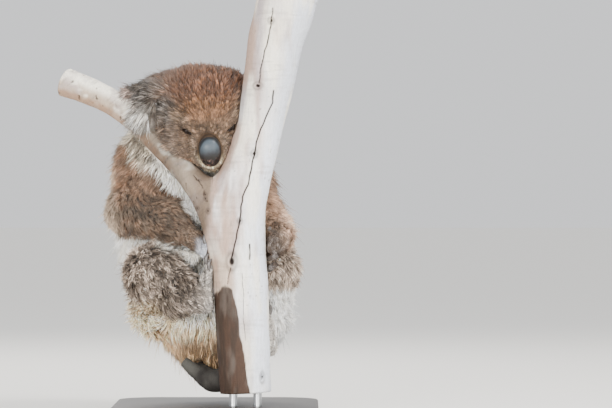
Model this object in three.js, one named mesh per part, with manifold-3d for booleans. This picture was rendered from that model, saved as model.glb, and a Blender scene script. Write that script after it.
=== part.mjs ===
// A sleeping koala hugging a forked gum-tree trunk, life size, on a plain display stand.
// Millimetres, +Z up. The origin is the centre of the stand's underside, and the animal faces -Y.
// Every solid is made in the tree's own frame, whose Z axis runs through the trunk's foot, and the
// whole display is then shifted so that the stand is centred.
import * as THREE from 'three';
import Module from 'manifold-3d';

const wasm = await Module();
wasm.setup();

// ---------------------------------------------------------------- driving dimensions

const gap = 0.5; // clearance kept between any two pieces
const standCentreY = 75; // the stand's centre, behind the trunk, under the animal's weight
const base = { width: 290, depth: 330, corner: 60, thickness: 18 };
const rod = { radius: 6, apart: 34, depthInWood: 30, depthInBase: 12 };
const trunkFootZ = 38; // height of the trunk's sawn foot above the floor
const trunkTopZ = 603;

const headPitch = 22; // the face looks this many degrees below the horizon
const headYaw = 2.5; // turned towards the animal's left
const headRoll = 5; // and tipped towards its right shoulder
const headCentre = [-10, 40, 430];

// ---------------------------------------------------------------- forms
// A form is a signed distance, negative inside, with the box that it fills.

const vec = (p) => new THREE.Vector3(...p);

function boxAround(points, reach) {
  return new THREE.Box3().setFromPoints(points).expandByScalar(reach);
}

/** An ellipsoid with three half-axes, turned by a quaternion. */
function egg(centre, half, turn = new THREE.Quaternion()) {
  const middle = vec(centre);
  const back = turn.clone().invert();
  const p = new THREE.Vector3();
  const [a, b, c] = half;
  const distance = (x, y, z) => {
    p.set(x - middle.x, y - middle.y, z - middle.z).applyQuaternion(back);
    const near = Math.hypot(p.x / a, p.y / b, p.z / c);
    const steep = Math.hypot(p.x / (a * a), p.y / (b * b), p.z / (c * c));
    return steep < 1e-9 ? -Math.min(a, b, c) : (near * (near - 1)) / steep;
  };
  return { distance, box: boxAround([middle], Math.max(a, b, c)) };
}

/** A straight limb between two points, round in section, its radius running from one to the other. */
function pod(from, to, radiusFrom, radiusTo) {
  const a = vec(from);
  const along = vec(to).sub(a);
  const lengthSq = Math.max(along.lengthSq(), 1e-6);
  const distance = (x, y, z) => {
    const dx = x - a.x;
    const dy = y - a.y;
    const dz = z - a.z;
    const share = (dx * along.x + dy * along.y + dz * along.z) / lengthSq;
    const t = Math.min(1, Math.max(0, share));
    const off = Math.hypot(dx - t * along.x, dy - t * along.y, dz - t * along.z);
    return off - radiusFrom - t * (radiusTo - radiusFrom);
  };
  return { distance, box: boxAround([a, vec(to)], Math.max(radiusFrom, radiusTo)) };
}

/** Several forms grown into one, with a fillet of about the given width where they meet. */
function fused(fillet, ...forms) {
  const distance = (x, y, z) => {
    let d = forms[0].distance(x, y, z);
    for (let i = 1; i < forms.length; i++) {
      const other = forms[i].distance(x, y, z);
      const h = Math.max(fillet - Math.abs(d - other), 0) / fillet;
      d = Math.min(d, other) - (h * h * fillet) / 4;
    }
    return d;
  };
  const box = new THREE.Box3();
  for (const form of forms) box.union(form.box);
  return { distance, box: box.expandByScalar(fillet / 4) };
}

// ---------------------------------------------------------------- from a form to a solid

/** A closed mesh of a form, one point for each grid cell that its surface crosses. */
function surfaceNet(form, cell) {
  const low = form.box.min.clone().subScalar(1.37 * cell);
  const size = form.box.max.clone().addScalar(1.37 * cell).sub(low);
  const [nx, ny, nz] = size.toArray().map((s) => Math.ceil(s / cell) + 1);
  const grid = new Float64Array(nx * ny * nz);
  const at = (i, j, k) => (k * ny + j) * nx + i;
  for (let k = 0; k < nz; k++)
    for (let j = 0; j < ny; j++)
      for (let i = 0; i < nx; i++)
        grid[at(i, j, k)] = form.distance(low.x + i * cell, low.y + j * cell, low.z + k * cell);

  const pointOf = new Map();
  const points = [];
  const corner = [0, 1, 2, 3, 4, 5, 6, 7].map((n) => [n & 1, (n >> 1) & 1, n >> 2]);
  for (let k = 0; k < nz - 1; k++)
    for (let j = 0; j < ny - 1; j++)
      for (let i = 0; i < nx - 1; i++) {
        const value = corner.map(([a, b, c]) => grid[at(i + a, j + b, k + c)]);
        if (value.every((v) => v < 0) || value.every((v) => v >= 0)) continue;
        const sum = new THREE.Vector3();
        let crossings = 0;
        for (let m = 0; m < 8; m++)
          for (const bit of [1, 2, 4]) {
            const n = m | bit;
            if (n === m || value[m] < 0 === value[n] < 0) continue;
            const t = value[m] / (value[m] - value[n]);
            sum.add(new THREE.Vector3(...corner[m]).lerp(new THREE.Vector3(...corner[n]), t));
            crossings++;
          }
        sum.divideScalar(crossings).add(new THREE.Vector3(i, j, k)).multiplyScalar(cell).add(low);
        pointOf.set(at(i, j, k), points.length);
        points.push(settled(form, sum, cell));
      }

  const triangles = [];
  const quad = (a, b, c, d, outward) => {
    const [p, q, r, s] = [a, b, c, d].map((n) => pointOf.get(n));
    const short = points[p].distanceTo(points[r]) < points[q].distanceTo(points[s]);
    const faces = short ? [[p, q, r], [p, r, s]] : [[q, r, s], [q, s, p]];
    for (const [u, v, w] of faces) triangles.push(...(outward ? [u, v, w] : [w, v, u]));
  };
  for (let k = 1; k < nz - 1; k++)
    for (let j = 1; j < ny - 1; j++)
      for (let i = 1; i < nx - 1; i++) {
        const inside = grid[at(i, j, k)] < 0;
        if (inside !== grid[at(i + 1, j, k)] < 0)
          quad(at(i, j - 1, k - 1), at(i, j, k - 1), at(i, j, k), at(i, j - 1, k), inside);
        if (inside !== grid[at(i, j + 1, k)] < 0)
          quad(at(i - 1, j, k - 1), at(i - 1, j, k), at(i, j, k), at(i, j, k - 1), inside);
        if (inside !== grid[at(i, j, k + 1)] < 0)
          quad(at(i - 1, j - 1, k), at(i, j - 1, k), at(i, j, k), at(i - 1, j, k), inside);
      }
  return { points, triangles };
}

function slopeOf(form, p) {
  const e = 0.5;
  return new THREE.Vector3(
    form.distance(p.x + e, p.y, p.z) - form.distance(p.x - e, p.y, p.z),
    form.distance(p.x, p.y + e, p.z) - form.distance(p.x, p.y - e, p.z),
    form.distance(p.x, p.y, p.z + e) - form.distance(p.x, p.y, p.z - e),
  ).divideScalar(2 * e);
}

/** The point moved onto the form's surface, by no more than half a cell. */
function settled(form, start, cell) {
  const p = start.clone();
  for (let step = 0; step < 3; step++) {
    const slope = slopeOf(form, p);
    const steep = Math.max(slope.lengthSq(), 0.05);
    p.addScaledVector(slope, -form.distance(p.x, p.y, p.z) / steep);
  }
  const moved = p.clone().sub(start);
  return start.clone().add(moved.clampLength(0, cell / 2));
}

function solidFrom(points, triangles) {
  const vertProperties = new Float32Array(points.flatMap((p) => p.toArray()));
  const triVerts = new Uint32Array(triangles);
  return new wasm.Manifold(new wasm.Mesh({ numProp: 3, vertProperties, triVerts }));
}

/** A solid with its grown copy, which is what the neighbours are cut back by. */
function withGrown(points, triangles) {
  const normal = points.map(() => new THREE.Vector3());
  for (let t = 0; t < triangles.length; t += 3) {
    const [a, b, c] = [0, 1, 2].map((n) => points[triangles[t + n]]);
    const face = b.clone().sub(a).cross(c.clone().sub(a));
    for (let n = 0; n < 3; n++) normal[triangles[t + n]].add(face);
  }
  const grown = points.map((p, i) => p.clone().addScaledVector(normal[i].normalize(), gap * 1.25));
  return { solid: solidFrom(points, triangles), grown: solidFrom(grown, triangles) };
}

/** A form as a solid, with the flatter stretches in large faces. */
function bodyOf(form, cell, coarseness = 0.18) {
  const { points, triangles } = surfaceNet(form, cell);
  const mesh = solidFrom(points, triangles).simplify(cell * coarseness).getMesh();
  const kept = [];
  for (let i = 0; i < mesh.vertProperties.length; i += 3)
    kept.push(new THREE.Vector3().fromArray(mesh.vertProperties, i));
  return withGrown(kept, [...mesh.triVerts]);
}

/** A round tapering limb swept along a smooth line, with flat or pointed ends.
 *  Each station is [x, y, z, radius]. */
function swept(stations, sides, rings) {
  const curve = new THREE.CatmullRomCurve3(stations.map((s) => vec(s.slice(0, 3))), false, 'centripetal');
  const radii = new THREE.CatmullRomCurve3(stations.map((s) => new THREE.Vector3(s[3], 0, 0)));
  const points = [];
  let across = new THREE.Vector3(1, 0, 0);
  for (let r = 0; r <= rings; r++) {
    const t = r / rings;
    const middle = curve.getPoint(t);
    const along = curve.getTangent(t);
    across = across.clone().addScaledVector(along, -across.dot(along)).normalize();
    const up = along.clone().cross(across);
    const radius = Math.max(radii.getPoint(t).x, 0.3);
    for (let s = 0; s < sides; s++) {
      const angle = (2 * Math.PI * s) / sides;
      points.push(middle.clone()
        .addScaledVector(across, radius * Math.cos(angle))
        .addScaledVector(up, radius * Math.sin(angle)));
    }
  }
  const triangles = [];
  for (let r = 0; r < rings; r++)
    for (let s = 0; s < sides; s++) {
      const [a, b] = [r * sides + s, r * sides + ((s + 1) % sides)];
      triangles.push(a, b, b + sides, a, b + sides, a + sides);
    }
  const last = rings * sides;
  for (let s = 1; s < sides - 1; s++) triangles.push(0, s + 1, s, last, last + s, last + s + 1);
  return withGrown(points, triangles);
}

function fromGeometry(geometry) {
  const position = (geometry.index ? geometry.toNonIndexed() : geometry).getAttribute('position');
  const points = [];
  const triangles = [];
  const seen = new Map();
  for (let i = 0; i < position.count; i++) {
    const p = new THREE.Vector3().fromBufferAttribute(position, i);
    const key = p.toArray().map((v) => Math.round(v * 1000)).join();
    if (!seen.has(key)) {
      seen.set(key, points.length);
      points.push(p);
    }
    triangles.push(seen.get(key));
  }
  const kept = [];
  for (let t = 0; t < triangles.length; t += 3) {
    const [a, b, c] = triangles.slice(t, t + 3);
    if (a !== b && b !== c && c !== a) kept.push(a, b, c);
  }
  return withGrown(points, kept);
}

// ---------------------------------------------------------------- the collection of pieces

const display = new THREE.Group();
display.position.y = -standCentreY;
const taken = []; // grown copies of what is already placed

const paint = (colour, roughness, metalness = 0) =>
  new THREE.MeshStandardMaterial({ color: colour, roughness, metalness });
const finish = {
  coat: paint('#8f7764', 0.95),
  paleCoat: paint('#d8cab4', 0.95),
  nose: paint('#4b4c54', 0.45),
  eye: paint('#1b1512', 0.15),
  claw: paint('#4a4a4e', 0.4),
  wood: paint('#cfc5bd', 0.8),
  darkWood: paint('#4a423c', 0.85),
  board: paint('#2b2522', 0.5),
  steel: paint('#b8babd', 0.3, 0.9),
};

/** Cuts a new piece back from what is already there, and hangs it in the display. */
function add(name, body, material) {
  let solid = body.solid;
  const box = solid.boundingBox();
  for (const other of taken) {
    const o = other.boundingBox();
    const apart = [0, 1, 2].some((n) => box.max[n] < o.min[n] || o.max[n] < box.min[n]);
    if (!apart) solid = solid.subtract(other);
  }
  if (solid.isEmpty()) throw new Error(`${name} lies wholly inside another piece`);
  const largest = solid.decompose().sort((a, b) => b.volume() - a.volume())[0].simplify(gap / 4);
  taken.push(body.grown);

  const mesh = largest.getMesh();
  const count = mesh.vertProperties.length / mesh.numProp;
  const middle = largest.boundingBox();
  const centre = [0, 1, 2].map((n) => Math.round((middle.min[n] + middle.max[n]) / 2));
  const place = new Float32Array(count * 3);
  for (let i = 0; i < count; i++)
    for (let n = 0; n < 3; n++) place[3 * i + n] = mesh.vertProperties[i * mesh.numProp + n] - centre[n];
  const geometry = new THREE.BufferGeometry()
    .setAttribute('position', new THREE.BufferAttribute(place, 3))
    .setIndex(new THREE.BufferAttribute(mesh.triVerts, 1));
  geometry.computeVertexNormals();
  const piece = new THREE.Mesh(geometry, material);
  piece.name = name;
  piece.position.set(...centre);
  display.add(piece);
}

// ---------------------------------------------------------------- the tree

// Stations of x, y, z and radius, from the foot up.
const trunkLine = [
  [42.5, 0, trunkFootZ, 36.5],
  [38.5, 0, 120, 37.7],
  [36, 0, 184, 38.2],
  [32.5, 0, 225, 38.2],
  [31.5, 0, 262, 38.6],
  [34, 0, 300, 37.8],
  [45, 0, 346, 35.4],
  [54.6, 0, 378, 33.4],
  [64, 1.5, 415, 32.4],
  [70.4, 2.5, 446, 34.4],
  [76, 4, 475, 36],
  [85, 6, 531, 38.3],
  [93.5, 7, 559, 40.2],
  [105, 8, trunkTopZ, 42],
];
// The forked branch leaves the trunk low down and runs up to the animal's right, away from the viewer.
const branchLine = [
  [22, 0, 243, 22],
  [1, 3, 288, 21.5],
  [-34, 15, 338, 18],
  [-70, 37, 378, 17.5],
  [-115, 62, 422, 17.5],
  [-160, 82, 452, 18.5],
  [-216, 104, 475, 20.5],
];
// The seat is a dead stub under the rump, forked once.
const seatLine = [
  [26, 10, 56, 18],
  [-4, 22, 53, 16],
  [-18, 44, 60, 14],
  [-24, 90, 64, 12],
  [-22, 150, 68, 10.5],
];
const snagLine = [
  [-12, 32, 56, 12],
  [-30, 42, 66, 10],
  [-44, 48, 77, 7.5],
];

// ---------------------------------------------------------------- the stand

function standBase() {
  const [w, d, c] = [base.width / 2, base.depth / 2, base.corner];
  const outline = new THREE.Shape();
  outline.moveTo(w - c, -d);
  outline.absarc(w - c, -d + c, c, -Math.PI / 2, 0);
  outline.absarc(w - c, d - c, c, 0, Math.PI / 2);
  outline.absarc(-w + c, d - c, c, Math.PI / 2, Math.PI);
  outline.absarc(-w + c, -d + c, c, Math.PI, 1.5 * Math.PI);
  const board = new THREE.ExtrudeGeometry(outline, { depth: base.thickness, bevelEnabled: false, curveSegments: 5 });
  board.translate(0, standCentreY, 0);
  return fromGeometry(board);
}

function standRod(side) {
  const low = base.thickness - rod.depthInBase;
  const high = trunkFootZ + rod.depthInWood;
  const bar = new THREE.CylinderGeometry(rod.radius, rod.radius, high - low, 12);
  bar.rotateX(Math.PI / 2);
  bar.translate(trunkLine[0][0] + (side * rod.apart) / 2, 0, (low + high) / 2);
  return fromGeometry(bar);
}

// ---------------------------------------------------------------- the animal

// The head's own axes: x to the viewer's right, f along the nose, u up through the crown.
const headTurn = new THREE.Quaternion().setFromEuler(new THREE.Euler(
  ...[headPitch, -headRoll, headYaw].map((a) => THREE.MathUtils.degToRad(a)), 'ZXY'));
const onHead = (x, f, u) =>
  new THREE.Vector3(x, -f, u).applyQuaternion(headTurn).add(vec(headCentre)).toArray();
const headEgg = (x, f, u, half) => egg(onHead(x, f, u), half, headTurn);
const bothSides = (make) => [make(-1), make(1)];

const noseAt = { f: 78, u: -29 };
const eyeAt = { x: 31.5, f: 48.5, u: -6, radius: 7.5 };
const lidSlit = { half: [6.4, 7, 1.5], slope: 35.5, f: 56.5, u: -4.7 }; // degrees down towards the nose

function headForm() {
  return fused(20,
    headEgg(0, -4, 6, [70, 62, 62]),
    headEgg(-26, -6, 18, [44, 50, 50]),
    headEgg(22, -6, 12, [40, 46, 44]),
    headEgg(0, 24, 2, [56, 36, 42]),
    ...bothSides((s) => headEgg(s * 40, 14, -30, [36, 38, 34])),
    ...bothSides((s) => headEgg(s * 24, 32, -44, [26, 28, 22])),
    pod(onHead(0, 30, -30), onHead(0, 62, -32), 31, 24),
    headEgg(0, 50, -52, [20, 22, 18]));
}

function noseForm() {
  return fused(8,
    headEgg(0, noseAt.f, noseAt.u + 8, [15.5, 11, 14]),
    headEgg(0, noseAt.f - 1, noseAt.u - 9, [14.5, 11, 12]));
}

function neckForm() {
  return fused(30,
    pod([-14, 84, 410], [-28, 118, 362], 56, 74),
    egg([-40, 80, 372], [56, 40, 34]));
}

function torsoForm() {
  const trunk = fused(50,
    egg([4, 130, 161], [98, 88, 98]),
    egg([-18, 142, 250], [123, 100, 105]),
    egg([-28, 132, 340], [104, 84, 76]));
  // the chest bulges out beside the branch
  return fused(24, trunk, pod([-98, 68, 383], [-18, 44, 290], 31, 28));
}

// Limb joints, as [x, y, z]. The animal's right is on the viewer's left.
const limbs = {
  right: {
    side: -1,
    shoulder: [-92, 92, 350], elbow: [-118, 44, 292], forearmMid: [-70, 20, 278], wrist: [-32, 4, 254],
    shoulderRadius: 51, elbowRadius: 40, forearmRadius: 34, wristRadius: 20,
    hip: [-70, 118, 172], knee: [-86, 18, 203], shinMid: [-54, 0, 181], ankle: [-30, -4, 170],
    hipRadius: 52, kneeRadius: 46, shinRadius: 35, ankleRadius: 24,
    handAngle: 180, footAngle: 186, towardViewer: 1, handZ: 242, heelZ: 149,
    // one finger stands up in front, the others reach round the back
    fingers: [
      { knuckle: [12, -12, 12], tip: [11, 6] },
      { knuckle: [-6, 0, 12], tip: [-12, 9] },
      { knuckle: [-14, -2, 11], tip: [-30, 4] },
      { knuckle: [-16, -8, 10], tip: [-33, -7] },
      { knuckle: [-14, -15, 9], tip: [-29, -18] },
    ],
  },
  left: {
    side: 1,
    shoulder: [22, 110, 332], elbow: [74, 56, 262], forearmMid: [86, 30, 256], wrist: [90, 6, 248],
    shoulderRadius: 45, elbowRadius: 38, forearmRadius: 27, wristRadius: 18,
    hip: [50, 118, 155], knee: [84, 56, 209], shinMid: [76, 62, 158], ankle: [66, 48, 112],
    hipRadius: 50, kneeRadius: 38, shinRadius: 25, ankleRadius: 18,
    handAngle: -6, footAngle: 46, towardViewer: -1, handZ: 242, heelZ: 86,
    // the fingers are curled one above the other, back against the bark
    fingers: [
      { knuckle: [-2, 20, 14], tip: [-20, 24] },
      { knuckle: [4, 9, 16], tip: [-10, 11] },
      { knuckle: [6, -3, 16], tip: [-8, -3] },
      { knuckle: [5, -15, 15], tip: [-9, -17] },
      { knuckle: [2, -26, 13], tip: [-11, -30] },
    ],
  },
};
// Toes stand up the bark from the heel: steps round the trunk in degrees, then heights above the heel.
const toes = [
  { knuckle: [-10, 30, 9], tip: [-22, 40], radius: 7.5 },
  { knuckle: [-4, 46, 8], tip: [-6, 66], radius: 5.5, clawed: true },
  { knuckle: [2, 48, 9], tip: [2, 71], radius: 5.5, clawed: true },
  { knuckle: [8, 47, 9], tip: [10, 70], radius: 6, clawed: true },
  { knuckle: [13, 42, 8], tip: [18, 62], radius: 5.5, clawed: true },
];
const fingerRadius = 6.2;

/** A point over the trunk's bark: an angle round the trunk, a height and a distance off the wood. */
function onBark(degrees, z, lift) {
  const i = trunkLine.findIndex((s) => s[2] > z);
  const [lower, upper] = [trunkLine[i - 1], trunkLine[i]];
  const t = (z - lower[2]) / (upper[2] - lower[2]);
  const [x, y, , radius] = lower.map((v, n) => v + t * (upper[n] - v));
  const angle = THREE.MathUtils.degToRad(degrees);
  return [x + (radius + lift) * Math.cos(angle), y + (radius + lift) * Math.sin(angle), z];
}

/** A point near a limb's paw, by steps round the trunk towards the viewer, height and lift. */
const onGrip = (limb, angle, step, z, lift) => onBark(angle + limb.towardViewer * step, z, lift);

function digit(limb, angle, z, { knuckle, tip, radius = fingerRadius }) {
  return pod(
    onGrip(limb, angle, knuckle[0], z + knuckle[1], knuckle[2]),
    onGrip(limb, angle, tip[0], z + tip[1], radius * 0.9),
    radius, radius * 0.85);
}

/** A claw that carries on from a digit's tip and hooks down to the bark. */
function claw(limb, angle, z, { knuckle, tip, radius = fingerRadius }) {
  const step = [tip[0] - knuckle[0], tip[1] - knuckle[1]];
  const long = Math.hypot(step[0] * 0.7, step[1]);
  const ahead = (reach, lift) => onGrip(limb, angle, tip[0] + (step[0] * reach) / long,
    z + tip[1] + (step[1] * reach) / long, lift);
  return swept([
    [...ahead(1, radius * 1.3), radius * 0.5],
    [...ahead(7, radius * 1.35), radius * 0.46],
    [...ahead(12, radius * 0.8), radius * 0.32],
    [...ahead(14.5, 1), 0.5],
  ], 6, 3);
}

function handForm(limb) {
  const palm = onGrip(limb, limb.handAngle, -4, limb.handZ, 14);
  return fused(7,
    pod(limb.wrist, palm, limb.wristRadius - 1, 15),
    ...limb.fingers.map((f) => digit(limb, limb.handAngle, limb.handZ, f)));
}

function footForm(limb) {
  const heel = onGrip(limb, limb.footAngle, 0, limb.heelZ + 13, 12);
  const ball = onGrip(limb, limb.footAngle, 2, limb.heelZ + 46, 11);
  return fused(8,
    pod(heel, ball, 13.5, 12.5),
    pod(limb.ankle, heel, limb.ankleRadius - 5, 13),
    ...toes.map((t) => digit(limb, limb.footAngle, limb.heelZ, t)));
}

function armForms(limb) {
  return {
    upper: fused(24,
      pod(limb.shoulder, limb.elbow, limb.shoulderRadius, limb.elbowRadius),
      egg(limb.shoulder, [limb.shoulderRadius, limb.shoulderRadius * 1.05, limb.shoulderRadius * 1.05])),
    fore: fused(16,
      pod(limb.elbow, limb.forearmMid, limb.elbowRadius, limb.forearmRadius),
      pod(limb.forearmMid, limb.wrist, limb.forearmRadius, limb.wristRadius)),
  };
}

function legForms(limb) {
  return {
    thigh: fused(24,
      pod(limb.hip, limb.knee, limb.hipRadius, limb.kneeRadius),
      egg(limb.hip, [limb.hipRadius, limb.hipRadius * 1.15, limb.hipRadius])),
    shin: fused(16,
      pod(limb.knee, limb.shinMid, limb.kneeRadius, limb.shinRadius),
      pod(limb.shinMid, limb.ankle, limb.shinRadius, limb.ankleRadius)),
  };
}

// The right ear fans out over the branch; the left one is folded back behind the trunk.
function earForm(s) {
  const folded = s > 0;
  const lean = headTurn.clone().multiply(new THREE.Quaternion().setFromEuler(
    new THREE.Euler(0, THREE.MathUtils.degToRad(s * 10), THREE.MathUtils.degToRad(folded ? -18 : -14))));
  if (folded) {
    return fused(14,
      egg(onHead(s * 68, -28, 8), [29, 14, 32], lean),
      egg(onHead(s * 50, -36, 12), [32, 22, 25], lean));
  }
  const spread = headTurn.clone().multiply(new THREE.Quaternion().setFromEuler(
    new THREE.Euler(0, THREE.MathUtils.degToRad(25), THREE.MathUtils.degToRad(-14))));
  return fused(10,
    egg(onHead(s * 79, 6, 43), [36, 14, 16], lean),
    egg(onHead(s * 86, 15, 25), [18, 12, 22], spread),
    egg(onHead(s * 55, 2, 45), [38, 22, 22], lean));
}

// ---------------------------------------------------------------- assembly, hard pieces first

add('stand_rod_right', standRod(-1), finish.steel);
add('stand_rod_left', standRod(1), finish.steel);
add('stand_base', standBase(), finish.board);
add('perch_trunk', swept(trunkLine, 14, 12), finish.wood);
add('perch_branch', swept(branchLine, 12, 7), finish.wood);
add('perch_seat', swept(seatLine, 9, 6), finish.darkWood);
add('perch_snag', swept(snagLine, 8, 3), finish.darkWood);

for (const [name, limb] of Object.entries(limbs)) {
  limb.fingers.forEach((f, i) =>
    add(`claw_hand_${name}_${i + 1}`, claw(limb, limb.handAngle, limb.handZ, f), finish.claw));
  toes.forEach((t, i) => {
    if (t.clawed) add(`claw_foot_${name}_${i + 1}`, claw(limb, limb.footAngle, limb.heelZ, t), finish.claw);
  });
}
for (const [name, { side }] of Object.entries(limbs)) {
  const ball = headEgg(side * eyeAt.x, eyeAt.f, eyeAt.u, Array(3).fill(eyeAt.radius));
  add(`eye_${name}`, bodyOf(ball, 5), finish.eye);
  // the opening between the lids is cut through the head to the eye
  const tilt = headTurn.clone().multiply(new THREE.Quaternion().setFromAxisAngle(
    new THREE.Vector3(0, 1, 0), THREE.MathUtils.degToRad(-side * lidSlit.slope)));
  const opening = egg(onHead(side * eyeAt.x, lidSlit.f, lidSlit.u), lidSlit.half, tilt);
  taken.push(bodyOf(opening, 1.6).solid);
}
add('nose', bodyOf(noseForm(), 7.5), finish.nose);
add('head', bodyOf(headForm(), 16), finish.coat);
add('torso', bodyOf(torsoForm(), 26), finish.coat);
// a fold of the flank shows between the right arm and leg
add('flank_fold', bodyOf(pod([-88, 50, 243], [-28, 20, 226], 13, 11), 12), finish.coat);
for (const [name, limb] of Object.entries(limbs)) {
  const { thigh, shin } = legForms(limb);
  const { upper, fore } = armForms(limb);
  add(`thigh_${name}`, bodyOf(thigh, 21), finish.coat);
  add(`upper_arm_${name}`, bodyOf(upper, limb.side < 0 ? 21 : 24), finish.coat);
  add(`shin_${name}`, bodyOf(shin, 18), finish.coat);
  add(`forearm_${name}`, bodyOf(fore, limb.side < 0 ? 21 : 24), finish.coat);
  add(`ear_${name}`, bodyOf(earForm(limb.side), limb.side < 0 ? 13 : 16), finish.coat);
}
add('neck', bodyOf(neckForm(), 32), finish.coat);
for (const [name, limb] of Object.entries(limbs)) {
  add(`hand_${name}`, bodyOf(handForm(limb), 9.8), finish.coat);
  add(`foot_${name}`, bodyOf(footForm(limb), limb.side < 0 ? 9.9 : 14), finish.coat);
}

export default display;
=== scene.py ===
"""A sleeping koala on a forked trunk, life size, on a display stand: skin, coat, face, perch and light.

Everything is worked out in the tree's own millimetres, whose Z axis runs through the trunk's foot,
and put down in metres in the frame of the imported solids, whose origin is under the stand's centre.
"""

import math
from types import SimpleNamespace

import bmesh
import bpy
import mathutils
import numpy as np
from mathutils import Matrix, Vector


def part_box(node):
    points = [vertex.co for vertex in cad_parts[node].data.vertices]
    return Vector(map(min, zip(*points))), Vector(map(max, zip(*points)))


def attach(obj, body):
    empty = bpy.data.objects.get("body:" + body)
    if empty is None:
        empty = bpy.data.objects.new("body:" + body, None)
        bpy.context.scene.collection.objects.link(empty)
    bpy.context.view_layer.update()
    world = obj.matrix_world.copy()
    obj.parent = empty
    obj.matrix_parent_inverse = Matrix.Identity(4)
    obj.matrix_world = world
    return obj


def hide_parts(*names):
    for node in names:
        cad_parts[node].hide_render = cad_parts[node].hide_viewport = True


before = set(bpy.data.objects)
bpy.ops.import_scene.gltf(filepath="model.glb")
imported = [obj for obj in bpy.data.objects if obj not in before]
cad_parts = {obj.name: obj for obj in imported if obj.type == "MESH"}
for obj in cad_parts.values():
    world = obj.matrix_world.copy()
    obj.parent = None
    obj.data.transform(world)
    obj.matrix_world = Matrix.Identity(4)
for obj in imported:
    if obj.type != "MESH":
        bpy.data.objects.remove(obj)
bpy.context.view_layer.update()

# ------------------------------------------------------------------ measures, in millimetres

MM = 0.001
AXIS_TO_CENTRE = 75.0  # the tree's axis stands this far in front of the stand's centre
SKIN_CELL = 3.0  # size of the skin's mesh cells on the body
SEED = 4121

HEAD_PITCH, HEAD_ROLL, HEAD_YAW = 22.0, -5.0, 2.5
HEAD_CENTRE = np.array([-10.0, 40.0, 430.0])
NOSE_F, NOSE_U, NOSE_ASIDE = 78.0, -29.0, 1.5
NOSE_HALF_WIDTH, NOSE_HALF_HEIGHT = 15.4, 21.0
NOSE_RIM = 15.6  # half width of the hairless rim
NOSTRIL_X, NOSTRIL_U, NOSTRIL_BEND = 8.6, -12.5, 0.055
EYE_X, EYE_F, EYE_U, EYE_RADIUS = 31.5, 48.5, -6.0, 7.5
LID_U = -4.7  # height of the opening between the lids
LID_FINE = 8.5  # how far round the opening the skin's mesh is finest

TRUNK = [
    [42.5, 0, 38, 36.5], [38.5, 0, 120, 37.7], [36, 0, 184, 38.2], [32.5, 0, 225, 38.2],
    [31.5, 0, 262, 38.6],
    [34, 0, 300, 37.8], [45, 0, 346, 35.4], [54.6, 0, 378, 33.4], [64, 1.5, 415, 32.4],
    [70.4, 2.5, 446, 34.4],
    [76, 4, 475, 36], [85, 6, 531, 38.3], [93.5, 7, 559, 40.2], [105, 8, 603, 42],
]
BRANCH = [
    [22, 0, 243, 22], [1, 3, 288, 21.5], [-34, 15, 338, 18], [-70, 37, 378, 17.5],
    [-115, 62, 422, 17.5], [-160, 82, 452, 18.5], [-216, 104, 475, 20.5],
]
SEAT = [[26, 10, 56, 18], [-4, 22, 53, 16], [-18, 44, 60, 14], [-24, 90, 64, 12], [-22, 150, 68, 10.5]]
SNAG = [[-12, 32, 56, 12], [-30, 42, 66, 10], [-44, 48, 77, 7.5]]

LIMBS = {
    "right": dict(
        side=-1, shoulder=[-92, 92, 350], elbow=[-118, 44, 292], mid=[-70, 20, 278], wrist=[-32, 4, 254],
        arm_radii=[51, 40, 34, 20], hip=[-70, 118, 172], knee=[-86, 18, 203], shin=[-54, 0, 181],
        ankle=[-30, -4, 170], leg_radii=[52, 46, 35, 24], hand_angle=180, foot_angle=186, towards=1,
        hand_z=242, heel_z=149,
        fingers=[
            ([12, -12, 12], [11, 6]), ([-6, 0, 12], [-12, 9]), ([-14, -2, 11], [-30, 4]),
            ([-16, -8, 10], [-33, -7]), ([-14, -15, 9], [-29, -18]),
        ],
    ),
    "left": dict(
        side=1, shoulder=[22, 110, 332], elbow=[74, 56, 262], mid=[86, 30, 256], wrist=[90, 6, 248],
        arm_radii=[45, 38, 27, 18], hip=[50, 118, 155], knee=[84, 56, 209], shin=[76, 62, 158],
        ankle=[66, 48, 112], leg_radii=[50, 38, 25, 18], hand_angle=-6, foot_angle=46, towards=-1,
        hand_z=242, heel_z=86,
        fingers=[
            ([-2, 20, 14], [-20, 24]), ([4, 9, 16], [-10, 11]), ([6, -3, 16], [-8, -3]),
            ([5, -15, 15], [-9, -17]), ([2, -26, 13], [-11, -30]),
        ],
    ),
}
# knuckle and tip, as steps round the trunk and heights, radius, and whether it has a claw
TOES = [
    ([-10, 30, 9], [-22, 40], 7.5, False), ([-4, 46, 8], [-6, 66], 5.5, True),
    ([2, 48, 9], [2, 71], 5.5, True), ([8, 47, 9], [10, 70], 6.0, True), ([13, 42, 8], [18, 62], 5.5, True),
]
FINGER_RADIUS = 6.2


# ------------------------------------------------------------------ numbers and colours


def unit(v):
    """Rows scaled to length one."""
    return v / np.maximum(np.linalg.norm(v, axis=-1, keepdims=True), 1e-9)


def ease(x, start, end):
    """0 before start, 1 after end, and a smooth rise (3t^2 - 2t^3) between them; end may be the lower."""
    t = np.clip((x - start) / (end - start), 0, 1)
    return t * t * (3 - 2 * t)


def bell(x):
    """1 at 0, falling as exp(-x^2) on either side."""
    return np.exp(-(x**2))


def linear(code):
    """A hex sRGB colour as three linear numbers."""
    c = np.array([int(code[i : i + 2], 16) for i in (1, 3, 5)]) / 255
    return np.where(c <= 0.04045, c / 12.92, ((c + 0.055) / 1.055) ** 2.4)


def mix(a, b, share):
    """a where share is 0, b where it is 1."""
    return a + (b - a) * np.asarray(share)[..., None]


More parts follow.
